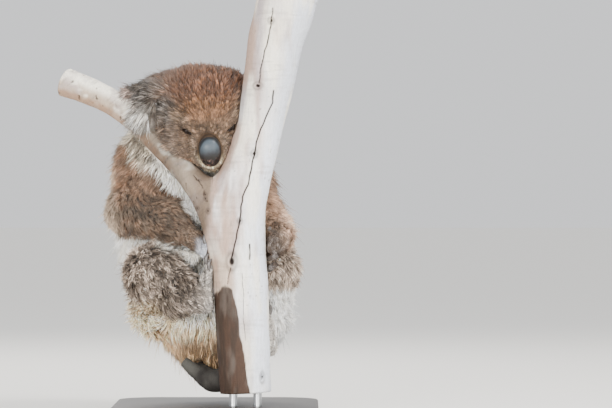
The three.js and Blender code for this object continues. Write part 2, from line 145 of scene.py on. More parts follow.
def lattice(cell, seed):
    """A fixed number from 0 to 1 for each whole-number cell: its three counts are multiplied by large
    primes, mixed by shifts and cut to 24 bits."""
    h = cell[:, 0] * 73856093 ^ cell[:, 1] * 19349663 ^ cell[:, 2] * 83492791 ^ (
        seed * 2654435761 & 0x7FFFFFFF
    )
    h = (h ^ (h >> 15)) * 2246822519 & 0xFFFFFFFF
    h = (h ^ (h >> 13)) * 3266489917 & 0xFFFFFFFF
    return ((h ^ (h >> 16)) & 0xFFFFFF) / 0xFFFFFF


def noise(points, size, seed=0):
    """Smooth value noise from 0 to 1: lattice numbers a size apart, eased between the eight corners."""
    q = points / size
    base = np.floor(q).astype(np.int64)
    t = q - base
    t = t * t * (3 - 2 * t)
    total = np.zeros(len(points))
    for corner in np.ndindex(2, 2, 2):
        weight = np.prod(np.where(np.array(corner), t, 1 - t), axis=1)
        total += weight * lattice(base + corner, seed)
    return total


def fractal(points, size, seed=0, octaves=3):
    """Noise summed over octaves, each half the size and half the strength of the one before, 0 to 1."""
    total = sum(noise(points, size / 2**i, seed + i) / 2**i for i in range(octaves))
    return total / sum(1 / 2**i for i in range(octaves))


# ------------------------------------------------------------------ forms: signed distances, negative inside


def turned(x_deg, y_deg, z_deg):
    """Matrix that turns about y, then x, then z."""
    (cx, sx), (cy, sy), (cz, sz) = [
        (math.cos(math.radians(a)), math.sin(math.radians(a)))
        for a in (x_deg, y_deg, z_deg)
    ]
    about_x = np.array([[1, 0, 0], [0, cx, -sx], [0, sx, cx]])
    about_y = np.array([[cy, 0, sy], [0, 1, 0], [-sy, 0, cy]])
    about_z = np.array([[cz, -sz, 0], [sz, cz, 0], [0, 0, 1]])
    return about_z @ about_x @ about_y


HEAD_TURN = turned(HEAD_PITCH, HEAD_ROLL, HEAD_YAW)


def on_head(x, f, u):
    """A point by its distances across, along the nose and up from the head's centre."""
    return HEAD_TURN @ np.array([x, -f, u], float) + HEAD_CENTRE


def from_head(points):
    """Distances across, along the nose and up from the head's centre, for each point."""
    local = (points - HEAD_CENTRE) @ HEAD_TURN
    return local[:, 0], -local[:, 1], local[:, 2]


def egg(centre, half, turn=None):
    """An ellipsoid: n(n - 1)/s, where n is the length of q/half, s the length of q/half^2 and q the
    point in the ellipsoid's own axes."""
    centre, half = np.array(centre, float), np.array(half, float)
    turn = np.eye(3) if turn is None else turn

    def distance(p):
        q = (p - centre) @ turn
        near = np.linalg.norm(q / half, axis=1)
        return near * (near - 1) / np.maximum(np.linalg.norm(q / half**2, axis=1), 1e-9)

    distance.low, distance.high = centre - half.max(), centre + half.max()
    return distance


def pod(a, b, radius_a, radius_b):
    """A limb: the distance to the line from a to b, less a radius that runs evenly from end to end."""
    a, b = np.array(a, float), np.array(b, float)
    along = b - a

    def distance(p):
        t = np.clip((p - a) @ along / max(along @ along, 1e-6), 0, 1)
        return np.linalg.norm(p - a - t[:, None] * along, axis=1) - radius_a - t * (radius_b - radius_a)

    reach = max(radius_a, radius_b)
    distance.low, distance.high = np.minimum(a, b) - reach, np.maximum(a, b) + reach
    return distance


def fillet(a, b, width):
    """The lesser of two distances, lowered by h^2 width/4 where they are within a width of each other."""
    h = np.maximum(width - np.abs(a - b), 0) / width
    return np.minimum(a, b) - h * h * width / 4


def fused(width, *forms):
    """Several forms grown into one, with a fillet where they meet."""

    def distance(p):
        d = forms[0](p)
        for form in forms[1:]:
            d = fillet(d, form(p), width)
        return d

    distance.low = np.min([f.low for f in forms], axis=0) - width / 4
    distance.high = np.max([f.high for f in forms], axis=0) + width / 4
    return distance


def on_bark(degrees, z, lift):
    """A point off the trunk's bark: its angle round the trunk, its height and its distance from the wood."""
    line = np.array(TRUNK, float)
    x, y, radius = (np.interp(z, line[:, 2], line[:, n]) for n in (0, 1, 3))
    a = math.radians(degrees)
    return np.array([x + (radius + lift) * math.cos(a), y + (radius + lift) * math.sin(a), z])


def on_grip(limb, angle, step, z, lift):
    """A point near a paw, by its step round the trunk towards the viewer, height and lift."""
    return on_bark(angle + limb["towards"] * step, z, lift)


def digit(limb, angle, z, knuckle, tip, radius):
    """A finger or toe round the trunk, from its knuckle to its tip, a sixth thinner at the tip."""
    return pod(
        on_grip(limb, angle, knuckle[0], z + knuckle[1], knuckle[2]),
        on_grip(limb, angle, tip[0], z + tip[1], radius * 0.9),
        radius, radius * 0.85,
    )


def off_nose(x, u):
    """How far out from the middle of the nose a place is, with 1 at the pad's edge."""
    return np.hypot((x + NOSE_ASIDE) / NOSE_RIM, (u - NOSE_U) / NOSE_HALF_HEIGHT)


def head_egg(x, f, u, half):
    """An ellipsoid that turns with the head."""
    return egg(on_head(x, f, u), half, HEAD_TURN)


def ear_form(side):
    """A flat fan, and the thicker root that joins it to the skull."""
    folded = side > 0
    lean = HEAD_TURN @ turned(0, side * 10, 0) @ turned(0, 0, -18 if folded else -14)
    if folded:
        return fused(
            14, egg(on_head(side * 68, -28, 8), [29, 14, 32], lean),
            egg(on_head(side * 50, -36, 12), [32, 22, 25], lean),
        )
    spread = HEAD_TURN @ turned(0, 25, 0) @ turned(0, 0, -14)
    return fused(
        10, egg(on_head(side * 79, 6, 43), [36, 14, 16], lean),
        egg(on_head(side * 86, 15, 25), [18, 12, 22], spread),
        egg(on_head(side * 55, 2, 45), [38, 22, 22], lean),
    )


CHEST = pod([-98, 68, 383], [-18, 44, 290], 31, 28)  # the chest's bulge beside the branch


def on_bulge(points):
    """1 in the chest's bulge, falling to 0 at 9 mm off it."""
    return ease(CHEST(points), 9, 0)


def body_parts():
    """Each part of the body's flesh by name."""
    parts = {
        "head": fused(
            20,
            head_egg(0, -4, 6, [70, 62, 62]), head_egg(-26, -6, 18, [44, 50, 50]),
            head_egg(22, -6, 12, [40, 46, 44]), head_egg(0, 24, 2, [56, 36, 42]),
            head_egg(-40, 14, -30, [36, 38, 34]), head_egg(40, 14, -30, [36, 38, 34]),
            head_egg(-24, 32, -44, [26, 28, 22]), head_egg(24, 32, -44, [26, 28, 22]),
            pod(on_head(0, 30, -30), on_head(0, 62, -32), 31, 24), head_egg(0, 50, -52, [20, 22, 18]),
        ),
        "neck": fused(30, pod([-14, 84, 410], [-28, 118, 362], 56, 74), egg([-40, 80, 372], [56, 40, 34])),
        "torso": fused(
            24,
            fused(
                50, egg([4, 130, 161], [98, 88, 98]), egg([-18, 142, 250], [123, 100, 105]),
                egg([-28, 132, 340], [104, 84, 76]),
            ),
            CHEST,
        ),
        "flank_fold": pod([-88, 50, 243], [-28, 20, 226], 13, 11),
    }
    for name, limb in LIMBS.items():
        parts["ear_" + name] = ear_form(limb["side"])
        for upper, lower, radii, joints, swell in (
            ("upper_arm_", "forearm_", "arm_radii", ("shoulder", "elbow", "mid", "wrist"), [1, 1.05, 1.05]),
            ("thigh_", "shin_", "leg_radii", ("hip", "knee", "shin", "ankle"), [1, 1.15, 1]),
        ):
            (a, b, c, e), r = (limb[joint] for joint in joints), limb[radii]
            parts[upper + name] = fused(24, pod(a, b, r[0], r[1]), egg(a, np.array(swell) * r[0]))
            parts[lower + name] = fused(16, pod(b, c, r[1], r[2]), pod(c, e, r[2], r[3]))
        wrist, ankle = limb["arm_radii"][3], limb["leg_radii"][3]
        hand_angle, hand_z = limb["hand_angle"], limb["hand_z"]
        foot_angle, heel_z = limb["foot_angle"], limb["heel_z"]
        parts["hand_" + name] = fused(
            7,
            pod(limb["wrist"], on_grip(limb, hand_angle, -4, hand_z, 14), wrist - 1, 15),
            *[digit(limb, hand_angle, hand_z, k, t, FINGER_RADIUS) for k, t in limb["fingers"]],
        )
        heel = on_grip(limb, foot_angle, 0, heel_z + 13, 12)
        ball = on_grip(limb, foot_angle, 2, heel_z + 46, 11)
        parts["foot_" + name] = fused(
            8,
            pod(heel, ball, 13.5, 12.5), pod(limb["ankle"], heel, ankle - 5, 13),
            *[digit(limb, foot_angle, heel_z, k, t, r) for k, t, r, _ in TOES],
        )
    return parts


PARTS = body_parts()
NAMES = list(PARTS)
FAR = 60.0  # distance given to parts whose box is further away than REACH
REACH = 34.0


def part_distances(points):
    """The distance to each part, one row for each point and one column for each part."""
    d = np.full((len(points), len(NAMES)), FAR)
    for n, form in enumerate(PARTS.values()):
        near = np.all((points > form.low - REACH) & (points < form.high + REACH), axis=1)
        if near.any():
            d[near, n] = form(points[near])
    return d


def shares(d, blur=7.0):
    """How much each part owns a place: exp(-distance/blur), with all shares adding to one."""
    w = np.exp(-(d - d.min(axis=1, keepdims=True)) / blur)
    return w / w.sum(axis=1, keepdims=True)


def owned(w, *names):
    """How much of each place belongs to the named parts together, from the table of shares."""
    return w[:, [NAMES.index(n) for n in names]].sum(axis=1)


def by_part(d, kind):
    """One of the coat's figures, blended by the parts' shares."""
    column = COAT_FIGURES.index(kind)
    return shares(d) @ np.array(
        [COAT[n.removesuffix("_right").removesuffix("_left")][column] for n in NAMES]
    )


def draw(share, *pairs):
    """Moves each array, in place, by a share of its way to a figure."""
    for values, figure in pairs:
        values += share * (figure - values)


# how deep the coat is over the skin, then for its locks: length, lift off the skin in degrees, half
# width, distance between tufts, curl, tone of the roots, and how far light and dark tufts differ
COAT_FIGURES = ("depth", "length", "lift", "width", "tuft", "curl", "roots", "streaks")
COAT = dict(
    head=(8, 15, 25, 0.6, 4.2, 0.2, 0.36, 1.1), neck=(14, 25, 34, 1.0, 8, 0.6, 0.45, 0.5),
    torso=(12, 33, 30, 1.15, 7.5, 0.9, 0.5, 0.3), flank_fold=(5, 14, 22, 0.8, 5.5, 0.8, 0.5, 0.3),
    ear=(6, 18, 13, 0.6, 3.2, 0.4, 0.45, 2.0), upper_arm=(9.5, 21, 26, 0.72, 4.8, 0.5, 0.5, 0.5),
    forearm=(11, 15, 26, 0.65, 4.2, 0.5, 0.5, 0.6), thigh=(14, 20, 40, 0.85, 4.8, 2.2, 0.22, 1.2),
    shin=(11, 16, 36, 0.75, 4.6, 2.0, 0.22, 1.2), hand=(1.6, 5, 14, 0.5, 3, 0, 0.5, 0.5),
    foot=(2.4, 6.5, 18, 0.5, 3.2, 0.2, 0.5, 0.6),
)


def face_share(x, f, u):
    """1 on the muzzle and round the eyes, falling to 0 over the crown, cheeks and back of the head."""
    off = np.sqrt((x / 52) ** 2 + ((u + 22) / 44) ** 2)
    return ease(off, 1.15, 0.55) * ease(f, 8, 34)


def coat_depth(points, d):
    """Depth of coat between the solids' surface and the skin: a figure for each part, less on the
    chest's bulge and the rump, and next to none at the root of the ear and on the face."""
    px, py, pz = points.T
    x, f, u = from_head(points)
    depth = by_part(d, "depth")
    draw(on_bulge(points), (depth, np.minimum(depth, 7.0)))
    draw(ease(pz, 152, 132), (depth, np.minimum(depth, 6.5)))
    draw(
        ease(-px, 64, 74) * ease(py, 0, 12) * ease(py, 72, 60) * ease(pz, 404, 412) * ease(pz, 436, 428),
        (depth, 0.8),
    )
    draw(face_share(x, f, u) * owned(shares(d), "head"), (depth, 2.6))
    return depth


def skin_distance(points):
    """Distance to the skin: all parts joined with small fillets, drawn in by the depth of the coat."""
    d = part_distances(points)
    total = d[:, 0]
    for n in range(1, d.shape[1]):
        total = fillet(total, d[:, n], 9.0)
    return total + coat_depth(points, d)


def off_line(points, line):
    """Distance to a bent line, for points of two or three numbers."""
    nearest = np.full(len(points), 1e9)
    for a, b in zip(line[:-1], line[1:]):
        t = np.clip((points - a) @ (b - a) / np.sum((b - a) ** 2), 0, 1)
        nearest = np.minimum(nearest, np.linalg.norm(points - a - t[:, None] * (b - a), axis=1))
    return nearest


def slope(distance, points, step=0.6):
    """The direction in which a distance grows, from differences over a step each way along each axis."""
    offsets = np.eye(3) * step
    return unit(np.stack([distance(points + o) - distance(points - o) for o in offsets], axis=1))


def settle(distance, points, rounds=3, step=0.6, most=2.0):
    """Moves points onto a distance's zero along its slope, by at most a given step each round."""
    for _ in range(rounds):
        points = points - np.clip(distance(points), -most, most)[:, None] * slope(distance, points, step)
    return points


def surface_net(distance, low, high, cell):
    """A closed mesh of quads over a distance's zero: one point in each grid cell that the surface
    crosses, at the mean of the crossings on the cell's edges, and one quad for each crossed edge."""
    counts = np.ceil((high - low) / cell).astype(int) + 1
    axes = [low[n] + np.arange(counts[n]) * cell for n in range(3)]
    grid = np.empty(counts)
    for k, z in enumerate(axes[2]):
        layer = np.stack(np.meshgrid(axes[0], axes[1], [z], indexing="ij"), -1).reshape(-1, 3)
        grid[:, :, k] = distance(layer).reshape(counts[0], counts[1])
    inside = grid < 0
    crossing, total = np.zeros(counts - 1), np.zeros((*(counts - 1), 3))
    index = np.stack(np.meshgrid(*[np.arange(c - 1) for c in counts], indexing="ij"), -1)
    for axis in range(3):
        for corner in np.ndindex(2, 2, 2):
            if corner[axis]:
                continue
            a = tuple(slice(c, c + n - 1) for c, n in zip(corner, counts))
            ahead = list(corner)
            ahead[axis] = 1
            b = tuple(slice(c, c + n - 1) for c, n in zip(ahead, counts))
            crossed = inside[a] != inside[b]
            t = np.where(crossed, grid[a] / np.where(crossed, grid[a] - grid[b], 1), 0)
            crossing += crossed
            for n in range(3):
                total[..., n] += crossed * (corner[n] + (t if n == axis else 0))
    used = crossing > 0
    number = np.full(counts - 1, -1)
    number[used] = np.arange(used.sum())
    points = low + (index[used] + total[used] / crossing[used][:, None]) * cell
    quads = []
    for axis in range(3):
        u, v = [n for n in range(3) if n != axis]
        inner = tuple(slice(1, -1) if n != axis else slice(0, -1) for n in range(3))
        ahead = tuple(slice(1, -1) if n != axis else slice(1, None) for n in range(3))
        crossed = np.argwhere(inside[inner] != inside[ahead])
        crossed[:, u] += 1
        crossed[:, v] += 1
        outward = inside[tuple(crossed.T)] ^ (axis == 1)
        ring = []
        for du, dv in ((-1, -1), (0, -1), (0, 0), (-1, 0)):
            cell_index = crossed.copy()
            cell_index[:, u] += du
            cell_index[:, v] += dv
            ring.append(number[tuple(cell_index.T)])
        ring = np.stack(ring, 1)
        quads.append(np.where(outward[:, None], ring, ring[:, ::-1]))
    return points, np.concatenate(quads)


# ------------------------------------------------------------------ meshes


def placed(name, data):
    """A new object, linked into the scene."""
    thing = bpy.data.objects.new(name, data)
    bpy.context.scene.collection.objects.link(thing)
    return thing


def put_down(name, points, faces, finish, slot, stands_for=(), marks=None, patches=None):
    """A mesh piece: points in the tree's millimetres, faces all with the same number of corners, a
    finish, a slot, which is not used, the solids it stands for, colours for the points, and a map of patches."""
    mesh = bpy.data.meshes.new(name)
    corners = faces.shape[1]
    mesh.vertices.add(len(points))
    mesh.vertices.foreach_set("co", ((points - [0, AXIS_TO_CENTRE, 0]) * MM).astype(np.float32).ravel())
    mesh.loops.add(faces.size)
    mesh.loops.foreach_set("vertex_index", faces.astype(np.int32).ravel())
    mesh.polygons.add(len(faces))
    mesh.polygons.foreach_set("loop_start", np.arange(0, faces.size, corners, dtype=np.int32))
    mesh.update(calc_edges=True)
    mesh.validate()
    mesh.polygons.foreach_set("use_smooth", np.full(len(mesh.polygons), True))
    if marks is not None:
        colour = np.ones((len(points), 4), np.float32)
        colour[:, :3] = np.clip(marks, 0, 1)
        mesh.attributes.new("Marking", "FLOAT_COLOR", "POINT").data.foreach_set("color", colour.ravel())
    if patches is not None:
        mesh.uv_layers.new(name="OFBake").uv.foreach_set("vector", patches.astype(np.float32).ravel())
    mesh.materials.append(finish)
    piece = placed(name, mesh)
    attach(piece, "root")
    if stands_for:
        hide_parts(*stands_for)
    return piece


def tube_faces(rings, sides):
    """Quads between neighbouring rings of a tube, facing out when the rings turn anticlockwise about
    its direction."""
    i, j = np.meshgrid(np.arange(rings - 1), np.arange(sides), indexing="ij")
    a, b = i * sides + j, i * sides + (j + 1) % sides
    return np.stack([a, b, b + sides, a + sides], -1).reshape(-1, 4)


def along_line(stations, count):
    """Places evenly spread along a smooth line through the stations: cubic pieces whose slope at each
    station is the mean of the steps on either side, with the square root of the step as the measure."""
    s = np.array(stations, float)
    knots = np.concatenate([[0], np.cumsum(np.sqrt(np.linalg.norm(np.diff(s[:, :3], axis=0), axis=1)))])
    steps = np.diff(s, axis=0) / np.diff(knots)[:, None]
    gaps = np.diff(knots)
    slopes = np.empty_like(s)
    slopes[0], slopes[-1] = steps[0], steps[-1]
    before, after = gaps[:-1, None], gaps[1:, None]
    slopes[1:-1] = (steps[:-1] * after + steps[1:] * before) / (after + before)

    def at(t):
        n = np.clip(np.searchsorted(knots, t, side="right") - 1, 0, len(gaps) - 1)
        h = gaps[n][:, None]
        q = (t[:, None] - knots[n][:, None]) / h
        return (
            (2 * q**3 - 3 * q**2 + 1) * s[n] + (q**3 - 2 * q**2 + q) * h * slopes[n]
            + (3 * q**2 - 2 * q**3) * s[n + 1] + (q**3 - q**2) * h * slopes[n + 1]
        )

    fine = np.linspace(0, knots[-1], 60 * len(s))
    length = np.concatenate([[0], np.cumsum(np.linalg.norm(np.diff(at(fine)[:, :3], axis=0), axis=1))])
    return at(np.interp(np.linspace(0, length[-1], count), length, fine))


def swept(stations, rings, sides, reference, relief=None, edge=1.5, joined=None, dense_at=None):
    """A round section carried along a line, its ends rounded over and closed: each point is the line's
    place plus the radius, times a turn round the line, moved where a function joins it to another limb,
    plus the relief that a function gives for the point. Returns points and quads; the last rings shrink
    onto the line to close the ends."""
    line = along_line(stations, rings)
    ahead = unit(np.gradient(line[:, :3], axis=0))
    across = unit(np.cross(ahead, np.array(reference, float)))
    over = np.cross(ahead, across)
    turn = np.linspace(0, 2 * math.pi, sides, endpoint=False)
    if dense_at is not None:
        turn = turn - 0.55 * np.sin(turn - dense_at)
    outward = across[:, None] * np.cos(turn)[None, :, None] + over[:, None] * np.sin(turn)[None, :, None]
    body = line[:, None, :3] + outward * line[:, None, 3:4]
    if joined is not None:
        body = joined(body.reshape(-1, 3)).reshape(body.shape)
    if relief is not None:
        body = body + outward * relief(body.reshape(-1, 3)).reshape(rings, sides, 1)
    ends = []
    for n in (0, -1):
        push = (-ahead[n] if n == 0 else ahead[n]) * edge
        rim = body[n] - line[n, :3]
        shares_in = [0.97, 0.8, 0.5, 0.2, 0.003]
        ends.append([line[n, :3] + rim * s + push * (1 if s < 0.96 else 0.6) for s in shares_in])
    all_rings = np.concatenate([np.stack(ends[0][::-1]), body, np.stack(ends[1])])
    points = all_rings.reshape(-1, 3)
    return points, tube_faces(len(all_rings), sides)


# ------------------------------------------------------------------ finishes

MIX_A, MIX_B, MIX_RESULT = 6, 7, 2  # the colour sockets of a mix node, which share their names with others


def add(tree, kind, settings=None, links=None):
    """One node: its properties and input values by name, and links into it from (node, output)."""
    node = tree.nodes.new(kind)
    for key, value in (settings or {}).items():
        if isinstance(key, str) and hasattr(node, key):
            setattr(node, key, value)
        else:
            node.inputs[key].default_value = value
    for key, (source, output) in (links or {}).items():
        tree.links.new(source.outputs[output], node.inputs[key])
    return node


def finish_of(name):
    """A new material with only its output node."""
    material = bpy.data.materials.new(name)
    material.use_nodes = True
    material.node_tree.nodes.clear()
    return material, material.node_tree


def show(tree, shader):
    """Makes a shader the surface of its material."""
    add(tree, "ShaderNodeOutputMaterial", links={"Surface": (shader, "BSDF")})


def toned(tree, pattern, low, high, darkest=0.3, lightest=0.7):
    """The piece's own Marking colours times a factor that runs from low to high as a pattern's value
    runs from its darkest to its lightest."""
    marking = add(tree, "ShaderNodeAttribute", {"attribute_name": "Marking"})
    limits = {"From Min": darkest, "From Max": lightest, "To Min": low, "To Max": high}
    factor = add(tree, "ShaderNodeMapRange", limits, {"Value": pattern})
    parts = {0: (marking, "Color"), "Scale": (factor, "Result")}
    return add(tree, "ShaderNodeVectorMath", {"operation": "SCALE"}, parts)


def marked(tree, scale, low, high, detail=3.0):
    """The piece's own Marking colours, lightened and darkened by a fine noise between two factors."""
    place = add(tree, "ShaderNodeTexCoord")
    settings = {"Scale": scale, "Detail": detail, "Roughness": 0.6}
    grain = add(tree, "ShaderNodeTexNoise", settings, {"Vector": (place, "Object")})
    return toned(tree, (grain, "Fac"), low, high), grain, place


def fur_finish():
    """Koala fur: dense, woolly and matt, a little paler towards the light at a low angle."""
    material, tree = finish_of("Koala_fur")
    colour, _, _ = marked(tree, 1 / (2.2 * MM), 0.82, 1.16)
    shader = add(
        tree, "ShaderNodeBsdfPrincipled",
        {
            "Roughness": 0.78, "IOR": 1.45, "Specular IOR Level": 0.25, "Sheen Weight": 0.08,
            "Sheen Roughness": 0.45,
        },
        {"Base Color": (colour, "Vector")},
    )
    show(tree, shader)
    return material


def skin_finish():
    """Close underfur over the hide: the coat's colours in shade, with a bump of fine hairs 1.3 mm apart."""
    material, tree = finish_of("Koala_underfur")
    colour, grain, _ = marked(tree, 1 / (1.3 * MM), 0.75, 1.2, 2.0)
    bump = add(tree, "ShaderNodeBump", {"Strength": 0.6, "Distance": 0.9 * MM}, {"Height": (grain, "Fac")})
    shader = add(
        tree, "ShaderNodeBsdfPrincipled",
        {"Roughness": 0.85, "IOR": 1.45, "Specular IOR Level": 0.2, "Sheen Weight": 0.06},
        {"Base Color": (colour, "Vector"), "Normal": (bump, "Normal")},
    )
    show(tree, shader)
    return material


def nose_finish():
    """Bare leathery skin, smooth and faintly damp, grained in cells 0.9 mm across."""
    material, tree = finish_of("Nose_leather")
    colour, _, place = marked(tree, 1 / (1.6 * MM), 0.9, 1.1)
    cells = add(
        tree, "ShaderNodeTexVoronoi", {"feature": "SMOOTH_F1", "Scale": 1 / (0.9 * MM)},
        {"Vector": (place, "Object")},
    )
    bump = add(
        tree, "ShaderNodeBump", {"Strength": 0.35, "Distance": 0.25 * MM}, {"Height": (cells, "Distance")},
    )
    shader = add(
        tree, "ShaderNodeBsdfPrincipled",
        {
            "Roughness": 0.46, "IOR": 1.45, "Specular IOR Level": 0.3, "Coat Weight": 0.12,
            "Coat Roughness": 0.25,
        },
        {"Base Color": (colour, "Vector"), "Normal": (bump, "Normal")},
    )
    show(tree, shader)
    return material


def clouded(name, size_mm, detail, dark, pale, settings):
    """A material of two colours that run into each other in clouds of a given size."""
    material, tree = finish_of(name)
    place = add(tree, "ShaderNodeTexCoord")
    cloud = add(
        tree, "ShaderNodeTexNoise", {"Scale": 1 / (size_mm * MM), "Detail": detail},
        {"Vector": (place, "Object")},
    )
    colours = {"data_type": "RGBA", MIX_A: (*linear(dark), 1), MIX_B: (*linear(pale), 1)}
    blend = add(tree, "ShaderNodeMix", colours, {"Factor": (cloud, "Fac")})
    show(tree, add(tree, "ShaderNodeBsdfPrincipled", settings, {"Base Color": (blend, MIX_RESULT)}))
    return material


def eye_finish():
    """A wet dark brown eyeball, smooth, between lids that keep most light off it."""
    wet = {"Roughness": 0.16, "IOR": 1.376, "Specular IOR Level": 0.18}
    return clouded("Eye_wet", 4, 2.0, "#0b0806", "#1d120a", wet)


def horn_finish():
    """Claw horn: dark grey, polished by bark, streaked."""
    return clouded("Claw_horn", 1.5, 3.0, "#26242a", "#6b6560", {"Roughness": 0.3, "IOR": 1.55})


def bark_finish(name, grain_mm, depth_mm, roughness):
    """Gum bark: dry and matt, with a lengthwise grain; dead wood has a coarser and deeper one."""
    material, tree = finish_of(name)
    place = add(tree, "ShaderNodeTexCoord")
    stretch = add(tree, "ShaderNodeMapping", {"Scale": (1.0, 1.0, 0.22)}, {"Vector": (place, "Object")})
    grain = add(
        tree, "ShaderNodeTexNoise", {"Scale": 1 / (grain_mm * MM), "Detail": 6.0, "Roughness": 0.65},
        {"Vector": (stretch, "Vector")},
    )
    pits = add(
        tree, "ShaderNodeTexNoise", {"Scale": 1 / (1.6 * MM), "Detail": 2.0}, {"Vector": (place, "Object")},
    )
    both = add(
        tree, "ShaderNodeMath", {"operation": "MULTIPLY_ADD", 1: 0.5},
        {0: (pits, "Fac"), 2: (grain, "Fac")},
    )
    colour = toned(tree, (both, "Value"), 0.84, 1.1, 0.55, 0.95)
    bump = add(
        tree, "ShaderNodeBump", {"Strength": 0.7, "Distance": depth_mm * MM}, {"Height": (both, "Value")},
    )
    shader = add(
        tree, "ShaderNodeBsdfPrincipled", {"Roughness": roughness, "IOR": 1.45, "Specular IOR Level": 0.3},
        {"Base Color": (colour, "Vector"), "Normal": (bump, "Normal")},
    )
    show(tree, shader)
    return material


def lacquer_finish():
    """Dark satin lacquer over beech: the grain is filled and shows as faint streaks 3 mm apart."""
    material, tree = finish_of("Base_lacquer")
    place = add(tree, "ShaderNodeTexCoord")
    stretch = add(tree, "ShaderNodeMapping", {"Scale": (0.12, 1.0, 1.0)}, {"Vector": (place, "Object")})
    grain = add(
        tree, "ShaderNodeTexNoise", {"Scale": 1 / (3 * MM), "Detail": 4.0}, {"Vector": (stretch, "Vector")},
    )
    colours = {"data_type": "RGBA", MIX_A: (*linear("#201a17"), 1), MIX_B: (*linear("#39302a"), 1)}
    blend = add(tree, "ShaderNodeMix", colours, {"Factor": (grain, "Fac")})
    bump = add(
        tree, "ShaderNodeBump", {"Strength": 0.15, "Distance": 0.15 * MM}, {"Height": (grain, "Fac")},
    )
    links = {"Base Color": (blend, MIX_RESULT), "Normal": (bump, "Normal")}
    shader = add(tree, "ShaderNodeBsdfPrincipled", {"Roughness": 0.38, "IOR": 1.5}, links)
    show(tree, shader)
    return material


def steel_finish():
    """Brushed stainless steel: fine marks run round the rod, 0.8 mm apart so that they show."""
    material, tree = finish_of("Rod_brushed_steel")
    place = add(tree, "ShaderNodeTexCoord")
    stretch = add(tree, "ShaderNodeMapping", {"Scale": (0.05, 0.05, 1.0)}, {"Vector": (place, "Object")})
    marks = add(
        tree, "ShaderNodeTexNoise", {"Scale": 1 / (0.8 * MM), "Detail": 2.0},
        {"Vector": (stretch, "Vector")},
    )
    rough = add(tree, "ShaderNodeMapRange", {"To Min": 0.22, "To Max": 0.4}, {"Value": (marks, "Fac")})
    bump = add(tree, "ShaderNodeBump", {"Strength": 0.1, "Distance": 0.05 * MM}, {"Height": (marks, "Fac")})
    settings = {"Base Color": (*linear("#b9bbbd"), 1), "Metallic": 1.0}
    links = {"Roughness": (rough, "Result"), "Normal": (bump, "Normal")}
    shader = add(tree, "ShaderNodeBsdfPrincipled", settings, links)
    show(tree, shader)
    return material


# ------------------------------------------------------------------ the coat's colours

HAIR = SimpleNamespace(
    **{
        name: linear(code)
        for name, code in dict(
            crown="#6a462f", forehead="#7a5536", face="#624c39", temple="#62564c", cheek="#816a57",
            brow="#86705a", muzzle="#685543", cream="#d8c6a4", rust="#6f4624", nape="#7b6858",
            shade="#1c130e", ear_dark="#3b332b", ear_grey="#968d85", ear_pale="#d9d3c9",
            ear_tip="#b39c90", back="#8b7a6b", side="#b9ac9d", chest="#f6f2e8", throat="#cfc5b8",
            fringe="#dccfb8", arm="#836650", arm_ginger="#9b7356", arm_dark="#5a4d41",
            arm_edge="#f0d6ba", flank="#fbf5e8", leg="#c2ae9c", leg_dark="#5a4b3e", leg_edge="#e8cba2",
            rump="#ffe7c0", rump_rust="#ddb080", rump_white="#fdfaf3", paw="#94908e",
            paw_blue="#c2c6d2", toe="#d0c7bc", arm_left="#b08a6d", arm_left_pale="#d6b297",
            palm="#55483f",
        ).items()
    }
)

# lines across the front of the body, as x and z, and for the band its half width
ARM_BORDER = np.array(
    [
        [-134, 424], [-126, 398], [-119, 377], [-105, 363], [-81, 351], [-67, 331], [-58, 314], [-53, 297],
        [-35, 283], [-21, 267], [-10, 262],
    ],
    float,
)
FLANK_BAND = np.array(
    [
        [-147, 252, 10], [-133, 250.6, 9], [-105, 253, 6], [-91, 249, 7], [-77, 243.6, 8.5],
        [-63, 239.4, 7.5], [-49, 232.4, 6], [-35, 226.8, 4], [-25, 224, 2],
    ],
    float,
)


